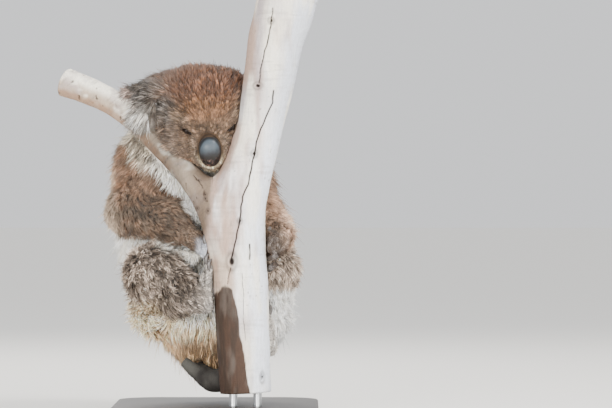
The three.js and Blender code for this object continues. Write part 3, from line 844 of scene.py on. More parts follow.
def head_marks(points, fine, broad):
    """The head: ginger forehead and crown in a fan from the nose, grey-brown cheeks and temples, pale
    brows, a cream lip under the nose and a rusty corner to the mouth, a painted shadow in a dark ring
    round the top of the nose pad, and painted shade along the lids' edges."""
    x, f, u = from_head(points)
    wide = np.abs(x)
    up = u + 9 * (broad - 0.5)
    head = mix(HAIR.face, HAIR.forehead, ease(up, 0, 18) * ease(wide, 42, 24))
    head = mix(head, HAIR.crown, ease(up + 0.16 * wide, 24, 48))
    head = mix(
        head, HAIR.temple, ease(wide + 10 * (fine - 0.5), 36, 52) * ease(u, 46, 24) * ease(u, -16, 4),
    )
    head = mix(head, HAIR.cheek, ease(wide, 30, 50) * ease(u, 4, -14))
    head = mix(head, HAIR.brow, 0.7 * bell(np.hypot((wide - 37) / 9, (u - 11) / 6)) * ease(f, 20, 40))
    head = mix(
        head, HAIR.brow,
        0.95 * bell((np.abs(x + NOSE_ASIDE) - 20.5) / 3.2) * ease(u, -8, -18) * ease(f, 48, 58),
    )
    head = mix(head, HAIR.muzzle, 0.6 * ease(f, 56, 66) * ease(u, -4, -20))
    head = head * (0.78 + 0.44 * ease(fractal(points, 5.5, 12, 2), 0.3, 0.7))[:, None]
    head = mix(head, HAIR.nape, ease(f, 2, -34))
    nose_off = off_nose(x, u)
    rim = bell((nose_off - 1.12) / 0.13) * ease(f, 50, 64)
    head = mix(head, HAIR.cream, 0.85 * rim * ease(u, -30, -46) * (0.6 + 0.8 * fine))
    # painted shadow: a dark ring in the fur round the top and sides of the nose pad
    head = mix(head, HAIR.shade, 0.8 * bell((nose_off - 1.0) / 0.06) * ease(f, 50, 64) * ease(u, -40, -18))
    head = mix(head, HAIR.cream, 0.55 * ease(u, -54, -60) * ease(f, 20, 44) * ease(wide, 26, 14))
    head = mix(head, HAIR.rust, 0.7 * bell(mouth_distance(x, f, u) / 2.2))
    head = mix(head, HAIR.rust, 0.9 * bell(np.hypot((wide - 31) / 5.5, (u + 48) / 4)) * ease(f, 40, 56))
    head = mix(head, HAIR.nape, ease(u, -46, -60) * ease(f, 36, 10))
    head = mix(
        head, HAIR.ear_grey,
        0.75 * ease(fine, 0.42, 0.6) * ease(wide, 46, 58) * ease(u, 0, 8) * ease(u, 36, 28),
    )
    # painted shade along the edges of the lid openings
    return mix(head, HAIR.shade, 0.95 * ease(nearer_slit(x, u), 2.8, 1.4) * ease(f, 40, 48))


def ear_marks(points, broad, side):
    """An ear: dark grey above, long pale hair below with a band of painted shadow along the fold
    between them, paler tips, and the crown's brown at its root.
    """
    x, _, u = from_head(points)
    out = side * x
    middle = 33 if side < 0 else 8
    thread = fractal(points * [1, 1, 1.6], 3.2, 41, 2)
    below = ease(u + 14 * (thread - 0.5) + 5 * (broad - 0.5), middle + 2, middle - 8)
    ear = mix(HAIR.ear_dark, HAIR.ear_grey, 0.8 * ease(thread, 0.5, 0.66))
    ear = mix(ear, HAIR.ear_pale, below * (0.12 + 0.88 * ease(thread, 0.41, 0.55)))
    ear = mix(
        ear, HAIR.ear_tip,
        0.85 * ease(out + 14 * (thread - 0.5), 92, 106) * ease(u, middle - 12, middle - 4),
    )
    # painted shadow: a dark band along the fold, just above where the pale lower hair begins
    ear = mix(ear, HAIR.shade, 0.7 * bell((u - middle - 2 + 0.1 * (out - 70)) / 3.2) * ease(out, 100, 84))
    ear = mix(
        ear, mix(HAIR.temple, HAIR.ear_grey, 0.5 * ease(thread, 0.45, 0.6)),
        0.8 * ease(out + 8 * (broad - 0.5), 80, 66),
    )
    if side < 0:
        ear = mix(ear, HAIR.temple, 0.9 * ease(out, 84, 77) * ease(u, 30, 25))
    return mix(ear, HAIR.crown, 0.7 * ease(out, 74, 46) * ease(u, middle + 14, middle + 26))


def limb_marks(points, limb, fine):
    """A limb's upper arm, forearm, thigh, shin, hand and foot: brown arms, gingery and pale-edged outside,
    and curly legs mottled in dark and pale; the right leg has painted rim light along its outer edge
    and painted shade towards the trunk and over the shin."""
    px, _, pz = points.T
    mottle = ease(fine, 0.34, 0.66)
    shoulder, elbow = np.array(limb["shoulder"], float), np.array(limb["elbow"], float)
    down = np.clip((points - shoulder) @ (elbow - shoulder) / np.sum((elbow - shoulder) ** 2), -0.6, 1.4)
    shade = ease(fine, 0.42, 0.62)
    bands = (0.8 + 0.4 * ease(fractal(points * [1, 1, 1.6], 22, 45, 2), 0.36, 0.64))[:, None]
    if limb["side"] < 0:
        upper = mix(HAIR.arm, HAIR.arm_ginger, 0.8 * ease(px + 0.4 * (pz - 330), -84, -118) * mottle)
        upper = mix(upper, HAIR.arm_dark, 0.45 * (1 - mottle) + 0.45 * ease(down, 0.7, 1.2))
        upper = mix(upper, HAIR.arm_edge, 0.8 * ease(px, -130, -146))
        fore = mix(HAIR.arm_dark, HAIR.arm, 0.6 * mottle)
        thigh = mix(HAIR.leg_dark, HAIR.leg, 0.3 + 0.7 * shade)
        thigh = mix(thigh, HAIR.leg_edge, 0.9 * ease(pz - 0.35 * (px + 100) + 16 * (fine - 0.5), 178, 158))
        # painted rim light: cream along the thigh's outer edge
        thigh = mix(thigh, HAIR.leg_edge, 0.8 * ease(px, -120, -130))
        # painted light and shade: the thigh is lighter towards its outer side, darker towards the trunk and
        # low down
        thigh = thigh * (0.6 + 0.84 * ease(px + 0.3 * (pz - 200), -66, -104) * ease(pz, 150, 180))[:, None]
        # painted shade: the right shin is darkened to about half
        shin = 0.52 * mix(HAIR.leg_dark, HAIR.leg, 0.15 + 0.8 * shade)
        hand = mix(HAIR.arm_dark, HAIR.paw_blue, ease(px, -32, -24) * ease(pz, 259, 251))
    else:
        upper = mix(HAIR.arm_left, HAIR.arm_dark, 0.35 * (1 - mottle))
        outer = ease(px + 8 * (fine - 0.5) + 0.3 * (pz - 262), 84, 100) * ease(pz, 325, 300)
        upper = mix(upper, HAIR.arm_left_pale, 0.85 * outer)
        fore = mix(mix(HAIR.arm_dark, HAIR.arm, 0.7 * mottle), HAIR.arm_left_pale, 0.8 * outer)
        thigh = 1.25 * mix(HAIR.leg_dark, HAIR.leg, 0.25 + 0.65 * shade)
        thigh = mix(thigh, HAIR.rump_white, ease(pz + 8 * (fine - 0.5), 192, 184))
        shin = mix(HAIR.leg, HAIR.rump_white, ease(pz + 8 * (fine - 0.5), 192, 184))
        hand = mix(HAIR.palm, HAIR.paw, 0.5 * shade)
    return bands * upper, bands * fore, thigh, shin, hand, mix(HAIR.paw, HAIR.toe, 0.45 + 0.5 * mottle)


def torso_marks(points, broad, over):
    """The torso: grey-brown behind and paler low down, brown or white in front on either side of the
    arm's border, white on the flank and on the far side of the rump."""
    px, py, pz = points.T
    torso = mix(HAIR.back, HAIR.side, ease(broad, 0.35, 0.7) * 0.5 + 0.4 * ease(pz, 250, 150))
    breast = mix(HAIR.arm, HAIR.chest, ease(over, -8, 0) * ease(px, -100, -84) * ease(px, 64, 46))
    torso = mix(torso, breast, ease(py, 172, 118))
    torso = mix(torso, HAIR.flank, ease(pz, 300, 262) * ease(py, 195, 140) * ease(px, 40, 0))
    return mix(torso, HAIR.rump_white, ease(px, 10, 50) * ease(pz, 262, 196))


def crossing_marks(points, colour, w, fine, over, ragged):
    """The colours that cross from part to part: the cream and rusty rump, the white chest with its
    streaked fringe over the shoulder, and the white band between arm and leg."""
    px, py, pz = points.T
    not_paw = 1 - owned(w, "foot_right", "foot_left", "hand_right")
    low = pz + 14 * (fine - 0.5) + 16 * (fractal(points, 16, 23, 2) - 0.5)
    rump = mix(HAIR.rump, HAIR.rump_rust, 0.85 * ease(low, 138, 110) * ease(px, 60, 10))
    rump = mix(rump, HAIR.rump_white, ease(px, 20, 60))
    colour = mix(colour, rump, ease(low, 153, 143) * ease(py, 250, 190) * not_paw)
    on_chest = ease(over, -2, 3) * ease(py, 112, 92) * ease(px, 0, -14) * ease(pz, 420, 406)
    on_chest = on_chest * np.clip(1 - owned(w, "head", "ear_right"), 0, 1)
    streaks = ease(fractal(points * [1, 1, 0.7], 4.5, 43, 2), 0.4, 0.6)
    fringe = mix(HAIR.arm_dark, HAIR.fringe, 0.35 + 0.65 * streaks)
    colour = mix(colour, mix(HAIR.chest, fringe, ease(px, -76, -96)), 0.95 * on_chest)
    middle, half = (np.interp(px, FLANK_BAND[:, 0], FLANK_BAND[:, n]) for n in (1, 2))
    band = np.exp(-(((pz + 0.4 * ragged - middle) / half) ** 4))
    return mix(colour, HAIR.flank, 0.9 * band * ease(px, -18, -32) * ease(py, 130, 105) * not_paw)


def paw_marks(points, colour):
    """The right foot: shade in the hollow beside it, between two toes and along the trunk, and a pale toe."""
    px, py, pz = points.T
    hollow = ease(px, -46, -34) * ease(px, -20, -25) * ease(pz + 0.5 * (px + 33), 201, 209)
    hollow = hollow * ease(pz, 226, 220)
    between = bell((px + 14.5) / 1.7) * ease(pz, 182, 192) * ease(pz, 230, 224)
    beside = ease(px, -7, -3) * ease(px, 12, 6) * ease(pz, 216, 200)
    in_front = ease(py, 40, 24)
    colour = mix(
        colour, HAIR.shade, in_front * np.max([0.75 * hollow, 0.8 * between, 0.8 * beside], axis=0),
    )
    toe = ease(px, -24, -21) * ease(px, -8, -12) * ease(pz, 180, 196) * ease(pz, 230, 224) * (1 - between)
    return mix(colour, HAIR.toe, 0.6 * toe * in_front)


def paleness(colour):
    """0 in the coat's dark and middle tones, 1 in its pale ones."""
    return ease(colour.mean(axis=1), 0.42, 0.72)


def marking(points):
    """The coat's colour at a place, on skin and locks alike: each part has its own mix of hair colours,
    set by how far round, along and up the part the place is, broken up by noise of 7 to 40 mm, and the
    parts' colours blend by their shares of the place. The chest, the flank and the rump cross from
    part to part."""
    w = shares(part_distances(points), 5.0)
    px, py, pz = points.T
    fine, broad = fractal(points, 7, 11), fractal(points, 38, 21, 2)
    ragged = 9 * (fractal(points * [1, 1, 0.6], 9, 33, 2) - 0.5)
    over = pz + ragged - np.interp(px, ARM_BORDER[:, 0], ARM_BORDER[:, 1])
    throat = ease(py, 92, 66) * ease(pz, 412, 396) * ease(px, 64, 46)
    parts = {
        "head": head_marks(points, fine, broad),
        "neck": mix(mix(HAIR.nape, HAIR.back, 0.4), HAIR.throat, throat),
        "torso": torso_marks(points, broad, over),
        "flank_fold": HAIR.flank,
        "ear_right": ear_marks(points, broad, -1),
        "ear_left": ear_marks(points, broad, 1),
    }
    for name, limb in LIMBS.items():
        kinds = ("upper_arm_", "forearm_", "thigh_", "shin_", "hand_", "foot_")
        for kind, colour in zip(kinds, limb_marks(points, limb, fine)):
            parts[kind + name] = colour
    colour = sum(w[:, n, None] * parts[name] for n, name in enumerate(NAMES))
    colour = paw_marks(points, crossing_marks(points, colour, w, fine, over, ragged))
    return colour * (0.84 + 0.32 * fractal(points, 14, 31, 2))[:, None]


# ------------------------------------------------------------------ the face

MOUTH = np.array(
    [[-32, 61, -47], [-22, 67.5, -55.5], [-9, 71, -60.5], [9, 71, -60.5], [22, 67.5, -55.5], [32, 61, -47]],
    float,
)


def mouth_distance(x, f, u):
    """Distance to the line of the mouth, which runs from corner to corner under the nose."""
    return off_line(np.stack([x, f, u], 1), MOUTH)


def lid_slit(x, u, side):
    """Distance inside (below 0) or outside the opening between the lids: a lens 14 mm long and 2.4 mm
    high, its middle sagging, that slopes down towards the nose."""
    dx, du = x - side * EYE_X, u - LID_U
    along, across = -side * 0.814 * dx - 0.581 * du, -side * 0.581 * dx + 0.814 * du
    return np.abs(across - 0.018 * along**2 + 0.3) - 1.2 * (1 - (along / 6.8) ** 2)


def nearer_slit(x, u):
    """Distance to the nearer of the two openings between lids."""
    return np.minimum(lid_slit(x, u, -1), lid_slit(x, u, 1))


def face_distance(points):
    """Distance to the skin of the face: the skin, with lids swollen over the eyes, slit open and creased
    above and below, a groove along the mouth, and a soft trough round the nose pad."""
    d = skin_distance(points)
    x, f, u = from_head(points)
    d = d + 2.4 * bell(mouth_distance(x, f, u) / 1.7)
    nose_off = off_nose(x, u)
    d = d + 1.2 * bell((nose_off - 1.0) / 0.1) * ease(f, 50, 60)
    for side in (-1, 1):
        off = np.sqrt((x - side * EYE_X) ** 2 + (f - EYE_F) ** 2 + (u - EYE_U) ** 2)
        d = fillet(d, off - EYE_RADIUS - 1.2, 6.0)
        slit = lid_slit(x, u, side)
        d = d + 0.7 * bell((slit - 4.2) / 0.9) * ease(off, 14, 9)
        opening = np.maximum(slit, np.maximum(EYE_RADIUS - 1.8 - off, EYE_F - f))
        d = np.maximum(d, -opening)
    return d


def front_of_face(x, f, u, margin=0):
    """Where the skin's mesh is finer: the front of the head from brow to chin, with a margin round it."""
    return (np.abs(x) < 50 + margin) & (f > 38 - margin) & (u > -72 - margin) & (u < 22 + margin)


def body_skin():
    """The skin's points and quads: a net over the skin's distance, split finer over the face and settled
    onto the face's own distance there."""
    low = np.min([form.low for form in PARTS.values()], axis=0) - 6
    high = np.max([form.high for form in PARTS.values()], axis=0) + 6
    cell = SKIN_CELL * 1
    points, quads = surface_net(skin_distance, low, high, cell)
    points = settle(skin_distance, points)
    mesh = bpy.data.meshes.new("face_split")
    mesh.from_pydata(points.tolist(), [], quads.tolist())
    split = front_of_face(*from_head(points))
    bm = bmesh.new()
    bm.from_mesh(mesh)
    bm.verts.ensure_lookup_table()
    edges = [e for e in bm.edges if split[e.verts[0].index] and split[e.verts[1].index]]
    bmesh.ops.subdivide_edges(bm, edges=edges, cuts=3, use_grid_fill=True)
    x, f, u = from_head(np.array([v.co for v in bm.verts]))
    to_lid = np.minimum(np.hypot(x - EYE_X, u - LID_U), np.hypot(x + EYE_X, u - LID_U))
    close = (f > 38) & (to_lid < LID_FINE)
    bm.verts.index_update()
    edges = [e for e in bm.edges if close[e.verts[0].index] and close[e.verts[1].index]]
    bmesh.ops.subdivide_edges(bm, edges=edges, cuts=1, use_grid_fill=True)
    bmesh.ops.triangulate(bm, faces=bm.faces)
    bm.to_mesh(mesh)
    bm.free()
    points = np.empty(len(mesh.vertices) * 3)
    mesh.vertices.foreach_get("co", points)
    points = points.reshape(-1, 3)
    triangles = np.empty(len(mesh.polygons) * 3, np.int32)
    mesh.polygons.foreach_get("vertices", triangles)
    bpy.data.meshes.remove(mesh)
    face = front_of_face(*from_head(points), margin=4)
    points[face] = settle(face_distance, points[face], rounds=8, step=0.3, most=0.8)
    return points, triangles.reshape(-1, 3)


# ------------------------------------------------------------------ the perch


def segments(stations, count):
    """A line's wood as a row of short pods."""
    line = along_line(stations, count)
    return [pod(a[:3], b[:3], a[3], b[3]) for a, b in zip(line[:-1], line[1:])]


TRUNK_WOOD, BRANCH_WOOD = segments(TRUNK, 25), segments(BRANCH, 17)
WOOD = TRUNK_WOOD + BRANCH_WOOD + segments(SEAT, 7) + segments(SNAG, 3)
JOINT = 32.0  # width of the fillet in the fork


def wood_distance(points, forms=None, reach=12.0):
    """Distance to the nearest of the perch's pods, for points within reach of one's box."""
    d = np.full(len(points), reach)
    for form in WOOD if forms is None else forms:
        near = np.all((points > form.low - reach) & (points < form.high + reach), axis=1)
        if near.any():
            d[near] = np.minimum(d[near], form(points[near]))
    return d


def grown_together(points, own, other):
    """The points of one limb of the fork that lie near the other, moved out to the surface that a fillet
    makes of the two, and sunk a little where they pass beyond the seam."""

    def joined(p):
        a, b = wood_distance(p, own, 40.0), wood_distance(p, other, 40.0)
        return fillet(a, b, JOINT) + 0.9 * ease(a - b, 0.5, 5)

    b = wood_distance(points, other, 40.0)
    near = (b < JOINT) & (b > -11)
    moved = settle(joined, points[near], rounds=4, most=3.0)
    points = points.copy()
    points[near] += ease(b[near], JOINT, 0.7 * JOINT)[:, None] * (moved - points[near])
    return points


# cracks as lines of x and z with a half width, and knots as x, z and half sizes, seen from the front
CRACKS = [
    (
        [
            [81, 573], [79, 558], [75.2, 531], [70.7, 517], [68.6, 507], [66.5, 498], [64.4, 489],
            [62.5, 470],
        ],
        1.0,
    ),
    (
        [
            [82.6, 459], [81, 442], [77, 433], [70, 418], [65.4, 407], [58, 387], [55.7, 372], [51.5, 352],
            [46.8, 327], [38.8, 311], [37.2, 289], [35.7, 278], [30.8, 257], [26, 235], [23.5, 222],
        ],
        1.3,
    ),
    ([[23, 212], [19, 198], [18.6, 190]], 0.7), ([[49, 245], [49.5, 224]], 1.3),
    ([[38, 205], [41, 172], [40, 140], [44, 112]], 0.4), ([[-30, 341], [-21, 331], [-17, 323]], 0.7),
]
KNOTS = [
    (79.1, 556.5, 2.4, 2.6), (60.4, 465.8, 3.6, 2.9), (55.5, 371, 2.6, 3.2), (35.6, 277.6, 2.0, 2.6),
    (24.2, 221, 4.2, 7.0), (66, 60, 1.8, 4.6), (93, 70, 1.6, 2.8),
    (-13, 314.3, 1.5, 1.5), (-13, 308.8, 1.6, 1.6), (-24.8, 295, 1.7, 1.5), (-9, 291, 1.5, 2.2),
]


def trunk_features(points):
    """How much of each place is crack, knot hole, knot rim and bared brown wood, 0 to 1."""
    x, y, z = points.T
    wander = 1.6 * (noise(points, 9, 5) - 0.5)
    facing = ease(y, 6, -4)
    crack = np.zeros(len(points))
    for line, half in CRACKS:
        crack = np.maximum(
            crack, bell(off_line(np.stack([x + wander, z], 1), np.array(line, float)) / half),
        )
    hole, rim = np.zeros(len(points)), np.zeros(len(points))
    for kx, kz, a, b in KNOTS:
        off = np.hypot((x - kx) / a, (z - kz) / b)
        hole = np.maximum(hole, ease(off, 1.1, 0.5))
        rim = np.maximum(rim, bell((off - 1.7) / 0.6))
    edge = np.interp(
        z, [38, 72, 95, 120, 139, 155, 171, 181, 188], [49.5, 43.5, 40.5, 35.7, 34, 30.8, 27.7, 24.5, 18],
    )
    ragged = 4 * (fractal(points * [1, 1, 0.35], 6, 7) - 0.5)
    top = np.interp(x, [-8, 8, 17, 21], [172, 182, 190, 187])
    bared = ease(x + ragged, edge + 1.0, edge - 1.0) * ease(z + 4 * ragged, top + 3, top - 3)
    bared = bared * ease(y, 30, 20)
    return crack * facing, hole * facing, rim * facing, bared


def trunk_relief(points):
    """Long swellings, faint rings round the trunk, and the features pressed in."""
    crack, hole, rim, bared = trunk_features(points)
    swell = 2.2 * (fractal(points * [1, 1, 0.5], 55, 41, 3) - 0.5)
    swell = swell + 0.9 * (fractal(points * [1, 1, 0.3], 8, 42, 2) - 0.5)
    rings = 0.5 * (noise(points * [0.12, 0.12, 1], 3.0, 44) - 0.5)
    return swell + rings - 1.8 * crack - 4.0 * hole + 0.9 * rim - 0.9 * bared


WOODS = SimpleNamespace(
    **{
        name: linear(code)
        for name, code in dict(
            pale="#e6e3e0", cool="#dde1ea", lilac="#a99d9c", cream="#f1ead9", tan="#a78772",
            brown="#3e2d23", dark="#33271f", crack="#1d1410", under="#93735a", grey="#7b726b",
            dead="#2f2b29", dead_pale="#4f4e49", cut="#b99b7c", branch_pale="#f3eddd",
            branch_tan="#9c8672", fork="#75604e",
        ).items()
    }
)


def wood_marks(points):
    """Smooth gum bark. The trunk is pale, stained in long lilac, tan and cream patches, finely ringed
    and darker higher up; painted light makes its +x side bluish white, and painted shade gathers the
    lilac and tan on its -x side and lays a tan strip there beside the paw. The branch is cream above,
    tan along its side and rusty beneath, with dark dots. The two run into each other at the fork.
    Cracks, knots and the bared wood are darker."""
    x, _, z = points.T
    crack, hole, rim, bared = trunk_features(points)
    line = along_line(TRUNK, 60)
    across = (x - np.interp(z, line[:, 2], line[:, 0])) / 37
    long = points * [1, 1, 0.25]
    # painted light: the trunk's +x side, towards the key lamp, turns bluish white
    trunk = mix(WOODS.pale, WOODS.cool, ease(across + 0.5 * (fractal(long, 30, 50) - 0.5), 0.1, 0.6))
    trunk = trunk * (1.01 - 0.21 * ease(z, 340, 470))[:, None]
    stain = fractal(long, 15, 51)
    # lilac and tan stains, weighted towards the -x side as painted shade
    trunk = mix(trunk, WOODS.lilac, ease(stain - 0.22 * across, 0.42, 0.72) * 0.85)
    trunk = mix(trunk, WOODS.tan, 0.75 * ease(fractal(long, 22, 71) - 0.3 * across, 0.5, 0.8))
    trunk = mix(trunk, WOODS.cream, ease(fractal(long, 26, 61), 0.52, 0.7) * 0.7)
    # painted shade: tan on the -x side beside the paw, 190 to 238 mm up
    trunk = mix(trunk, WOODS.tan, 0.6 * ease(z, 238, 214) * ease(z, 172, 190) * ease(across, 0.0, -0.35))
    rings = ease(noise(points * [0.1, 0.1, 1], 2.4, 84), 0.5, 0.85)
    trunk = mix(trunk, WOODS.grey, 0.26 * rings * ease(fractal(points, 26, 85, 2), 0.36, 0.58))
    flecks = ease(noise(points * [1, 1, 0.6], 2.6, 81), 0.85, 0.95)
    trunk = mix(trunk, WOODS.grey, 0.8 * flecks * ease(fractal(points, 30, 82, 2), 0.4, 0.6))

    line = along_line(BRANCH, 60)
    low = z - np.interp(x, line[::-1, 0], line[::-1, 2]) + 7 * (fractal(points, 18, 151) - 0.5)
    branch = mix(
        WOODS.branch_pale, WOODS.branch_tan, np.maximum(ease(low, 12, -4), ease(x, -112, -84)) * 0.85,
    )
    branch = mix(branch, WOODS.lilac, 0.5 * ease(fractal(points, 14, 152), 0.45, 0.7))
    branch = mix(branch, WOODS.branch_pale, 0.6 * ease(fractal(points, 17, 156), 0.52, 0.66))
    branch = mix(branch, WOODS.under, 0.8 * ease(low, -6, -15) * ease(x, -50, -80))
    wrinkles = ease(noise((points @ turned(0, 40, 0).T) * [0.14, 0.14, 1], 2.2, 155), 0.6, 0.9)
    branch = mix(branch, WOODS.grey, 0.55 * wrinkles * ease(fractal(points, 20, 153, 2), 0.3, 0.55))
    branch = mix(branch, WOODS.fork, 0.7 * ease(x, -50, -14)) * (1 - 0.34 * ease(x, -130, -70))[:, None]
    branch = branch * (1 - 0.34 * ease(x, -134, -118) * ease(x, -38, -54))[:, None]
    dots = ease(noise(points, 5, 143), 0.82, 0.93)
    branch = mix(branch, WOODS.dark, 0.85 * dots)

    a, b = wood_distance(points, TRUNK_WOOD, 40.0), wood_distance(points, BRANCH_WOOD, 40.0)
    colour = mix(trunk, branch, ease(a - b + 5 * (fractal(points, 9, 157, 2) - 0.5), -4, 5))
    brown = mix(WOODS.brown, WOODS.dark, ease(fractal(points * [1, 1, 0.15], 5, 91), 0.4, 0.65))
    brown = mix(brown, WOODS.grey, 0.25 * ease(fractal(points * [1, 1, 0.3], 12, 92), 0.5, 0.75))
    colour = mix(colour, brown, bared)
    colour = mix(colour, WOODS.dark, 0.5 * rim * (1 - bared))
    return mix(colour, WOODS.crack, np.maximum(ease(crack, 0.25, 0.8), hole))


def branch_relief(points):
    """Swellings of 34 and 7 mm, and pits where the bark has flaked."""
    crack = trunk_features(points)[0]
    swell = 1.8 * (fractal(points, 34, 141, 3) - 0.5) + 0.8 * (fractal(points, 7, 142, 2) - 0.5)
    return swell - 1.2 * ease(noise(points, 5, 143), 0.84, 0.95) - 1.2 * crack


def dead_relief(points):
    """Swellings of 9 mm, drawn out along the dead branch."""
    return 2.2 * (fractal(points * [1, 0.35, 1], 9, 161) - 0.5)


def dead_marks(points):
    """Nearly black wood, paler in long streaks, and with a painted sheen that pales it towards the snag's tip
    on the -x side.
    """
    wood = mix(
        0.7 * WOODS.dead, WOODS.dead_pale, 0.4 * ease(fractal(points * [1, 0.3, 1], 14, 162), 0.4, 0.8),
    )
    # painted sheen: paler towards -x, out to the snag's tip
    return mix(wood, WOODS.dead_pale, 0.7 * ease(points[:, 0], -18, -36))


def perch_piece(
    name, stations, rings, sides, reference, relief, marks, finish, slot, fork=None, dense_at=None,
):
    """A length of tree: a swept section with relief and colours, grown together with the other limb of
    its fork, and with a sawn face at each end."""
    fineness = 1
    rings, sides = rings // fineness, sides // fineness
    joined = fork and (lambda p: grown_together(p, *fork))
    points, quads = swept(stations, rings, sides, reference, relief, joined=joined, dense_at=dense_at)
    colour = marks(points)
    ends = len(points) - 4 * sides  # the last four rings at each end are sawn faces, with growth rings
    centre = np.array([stations[0][:3], stations[-1][:3]], float)
    for part, middle in ((slice(0, 4 * sides), centre[0]), (slice(ends, None), centre[1])):
        off = np.linalg.norm(points[part] - middle, axis=1)
        sawn = WOODS.cut * (0.8 + 0.12 * np.sin(off * 2.2)[:, None])
        colour[part] = sawn if slot == "bark" else colour[part] * 0.8
    return put_down(name + "_wood", points, quads, finish, slot, [name], colour)


# ------------------------------------------------------------------ nose, eyes and claws


def nose_pad():
    """The bare nose: rings round the pad's own axis, whose outline has |x/15.4|^2.5 + |u/21|^2.5 = 1 and
    narrows a little below, and height 12 (1 - r^2.7)^0.5 over a rim that slopes back towards the brow;
    then two comma-shaped nostrils pressed in low at the sides, and a shallow groove between them. The
    back is closed. Blue-grey above, a painted reflection of the sky on the dark leather; dark brown with
    pink specks below; and black in the nostrils and round the rim, painted shade that is heaviest at the
    top of the rim."""
    rings, sides = 46, 96
    r = np.concatenate([np.sin(np.linspace(0.0, math.pi / 2, rings)), np.linspace(0.97, 0.0, 8)])
    r[0] = r[-1] = 0.002
    back = np.arange(len(r)) >= rings
    rr, aa = np.meshgrid(r, np.linspace(0, 2 * math.pi, sides, endpoint=False), indexing="ij")
    outline = (np.abs(np.sin(aa)) / NOSE_HALF_WIDTH) ** 2.5 + (np.abs(np.cos(aa)) / NOSE_HALF_HEIGHT) ** 2.5
    outline = outline**-0.4
    x = rr * np.sin(aa) * outline * (1 - 0.1 * np.maximum(-np.cos(aa), 0) ** 2)
    u = rr * np.cos(aa) * outline
    dome = 12.0 * np.sqrt(np.maximum(1 - rr**2.7, 0))
    f = NOSE_F - 0.5 - 0.11 * u + np.where(back[:, None], -7.0 * (1 - rr**2), dome)
    front = ~back[:, None] & (rr < 0.995)

    def nostril(side, wide, high):
        across, up = x * side - NOSTRIL_X, u - NOSTRIL_U
        return bell((across - NOSTRIL_BEND * (up + 2) ** 2) / wide) * bell(up / high)

    for side in (-1, 1):
        f = f - front * 4.6 * nostril(side, 2.5, 4.4)
    f = f - front * 0.9 * bell(x / 1.1) * ease(u, -6, -13)
    f = f + front * 0.7 * bell((np.abs(x) - 12.5) / 2.2) * ease(u, -2, -10)
    points = np.stack([x - NOSE_ASIDE, -f, u + NOSE_U], -1).reshape(-1, 3) @ HEAD_TURN.T + HEAD_CENTRE
    x, u = x.reshape(-1), u.reshape(-1)
    grain = fractal(points, 2.2, 171)
    tones = ("#3c454d", "#120c09", "#080605", "#7c5d54")
    sky_reflection_blue, brown, dark, pink = (linear(c) for c in tones)
    # painted reflection: the sky's blue-grey over the pad's upper half, running down into its own dark brown
    colour = mix(sky_reflection_blue, brown, ease(u + 7 * (fractal(points, 7, 172) - 0.5), 11.5, -4.5))
    colour = mix(colour, pink, 0.65 * ease(grain, 0.58, 0.7) * ease(u, -4, -10))
    # painted shade inside the nostrils
    for side in (-1, 1):
        colour = mix(colour, dark, nostril(side, 2.2, 4.0))
    # painted shadow round the pad's rim, heaviest at the top where the fur meets it
    rim = ease(np.hypot(x / NOSE_RIM, u / NOSE_HALF_HEIGHT), 0.88 - 0.02 * ease(u, -4, 10), 0.97)
    colour = mix(colour, dark, (0.7 + 0.15 * ease(u, -4, 10)) * rim)
    return put_down(
        "nose_pad", points, tube_faces(len(r), sides)[:, ::-1], nose_finish(), "nose", ["nose"], colour,
    )


def eyeball(name, side):
    """A closed ball: rings of latitude with their poles across the head."""
    rings, sides = 25, 40
    latitude, longitude = np.linspace(0.01, math.pi - 0.01, rings), np.arange(sides) * 2 * math.pi / sides
    b, a = np.meshgrid(latitude, longitude, indexing="ij")
    ball = np.stack([-np.cos(b), np.sin(b) * np.cos(a), np.sin(b) * np.sin(a)], -1).reshape(-1, 3)
    points = (EYE_RADIUS * ball + [side * EYE_X, -EYE_F, EYE_U]) @ HEAD_TURN.T + HEAD_CENTRE
    return put_down(name + "_ball", points, tube_faces(rings, sides), EYE, "eye", [name])


def claw_points(limb, angle, z, knuckle, tip, radius):
    """A claw: a round section carried on from the digit's tip, thinning and hooking to the bark."""
    step = np.array([tip[0] - knuckle[0], tip[1] - knuckle[1]], float)
    long = math.hypot(step[0] * 0.7, step[1])

    def ahead(reach, lift):
        return on_grip(
            limb, angle, tip[0] + step[0] * reach / long, z + tip[1] + step[1] * reach / long, lift,
        )

    stations = [
        [*ahead(-2, radius * 1.1), radius * 0.5], [*ahead(1, radius * 1.3), radius * 0.5],
        [*ahead(7, radius * 1.35), radius * 0.44], [*ahead(12, radius * 0.8), radius * 0.28],
        [*ahead(14.5, 1), 0.35],
    ]
    return swept(stations, 14, 12, (0.3, 1.0, 0.2), edge=0.2)


def all_claws(finish):
    """The claws of both hands and both feet in one piece, which stands for each claw's solid."""
    points, faces, names, start = [], [], [], 0
    for name, limb in LIMBS.items():
        hand, foot = (limb["hand_angle"], limb["hand_z"]), (limb["foot_angle"], limb["heel_z"])
        digits = [("hand", hand, n, k, t, FINGER_RADIUS) for n, (k, t) in enumerate(limb["fingers"], 1)]
        digits += [("foot", foot, n, k, t, r) for n, (k, t, r, clawed) in enumerate(TOES, 1) if clawed]
        for paw, place, n, knuckle, tip, radius in digits:
            p, q = claw_points(limb, *place, knuckle, tip, radius)
            points.append(p)
            faces.append(q + start)
            start += len(p)
            names.append(f"claw_{paw}_{name}_{n}")
    return put_down("claws", np.concatenate(points), np.concatenate(faces), finish, "claw", names)


# ------------------------------------------------------------------ the stand


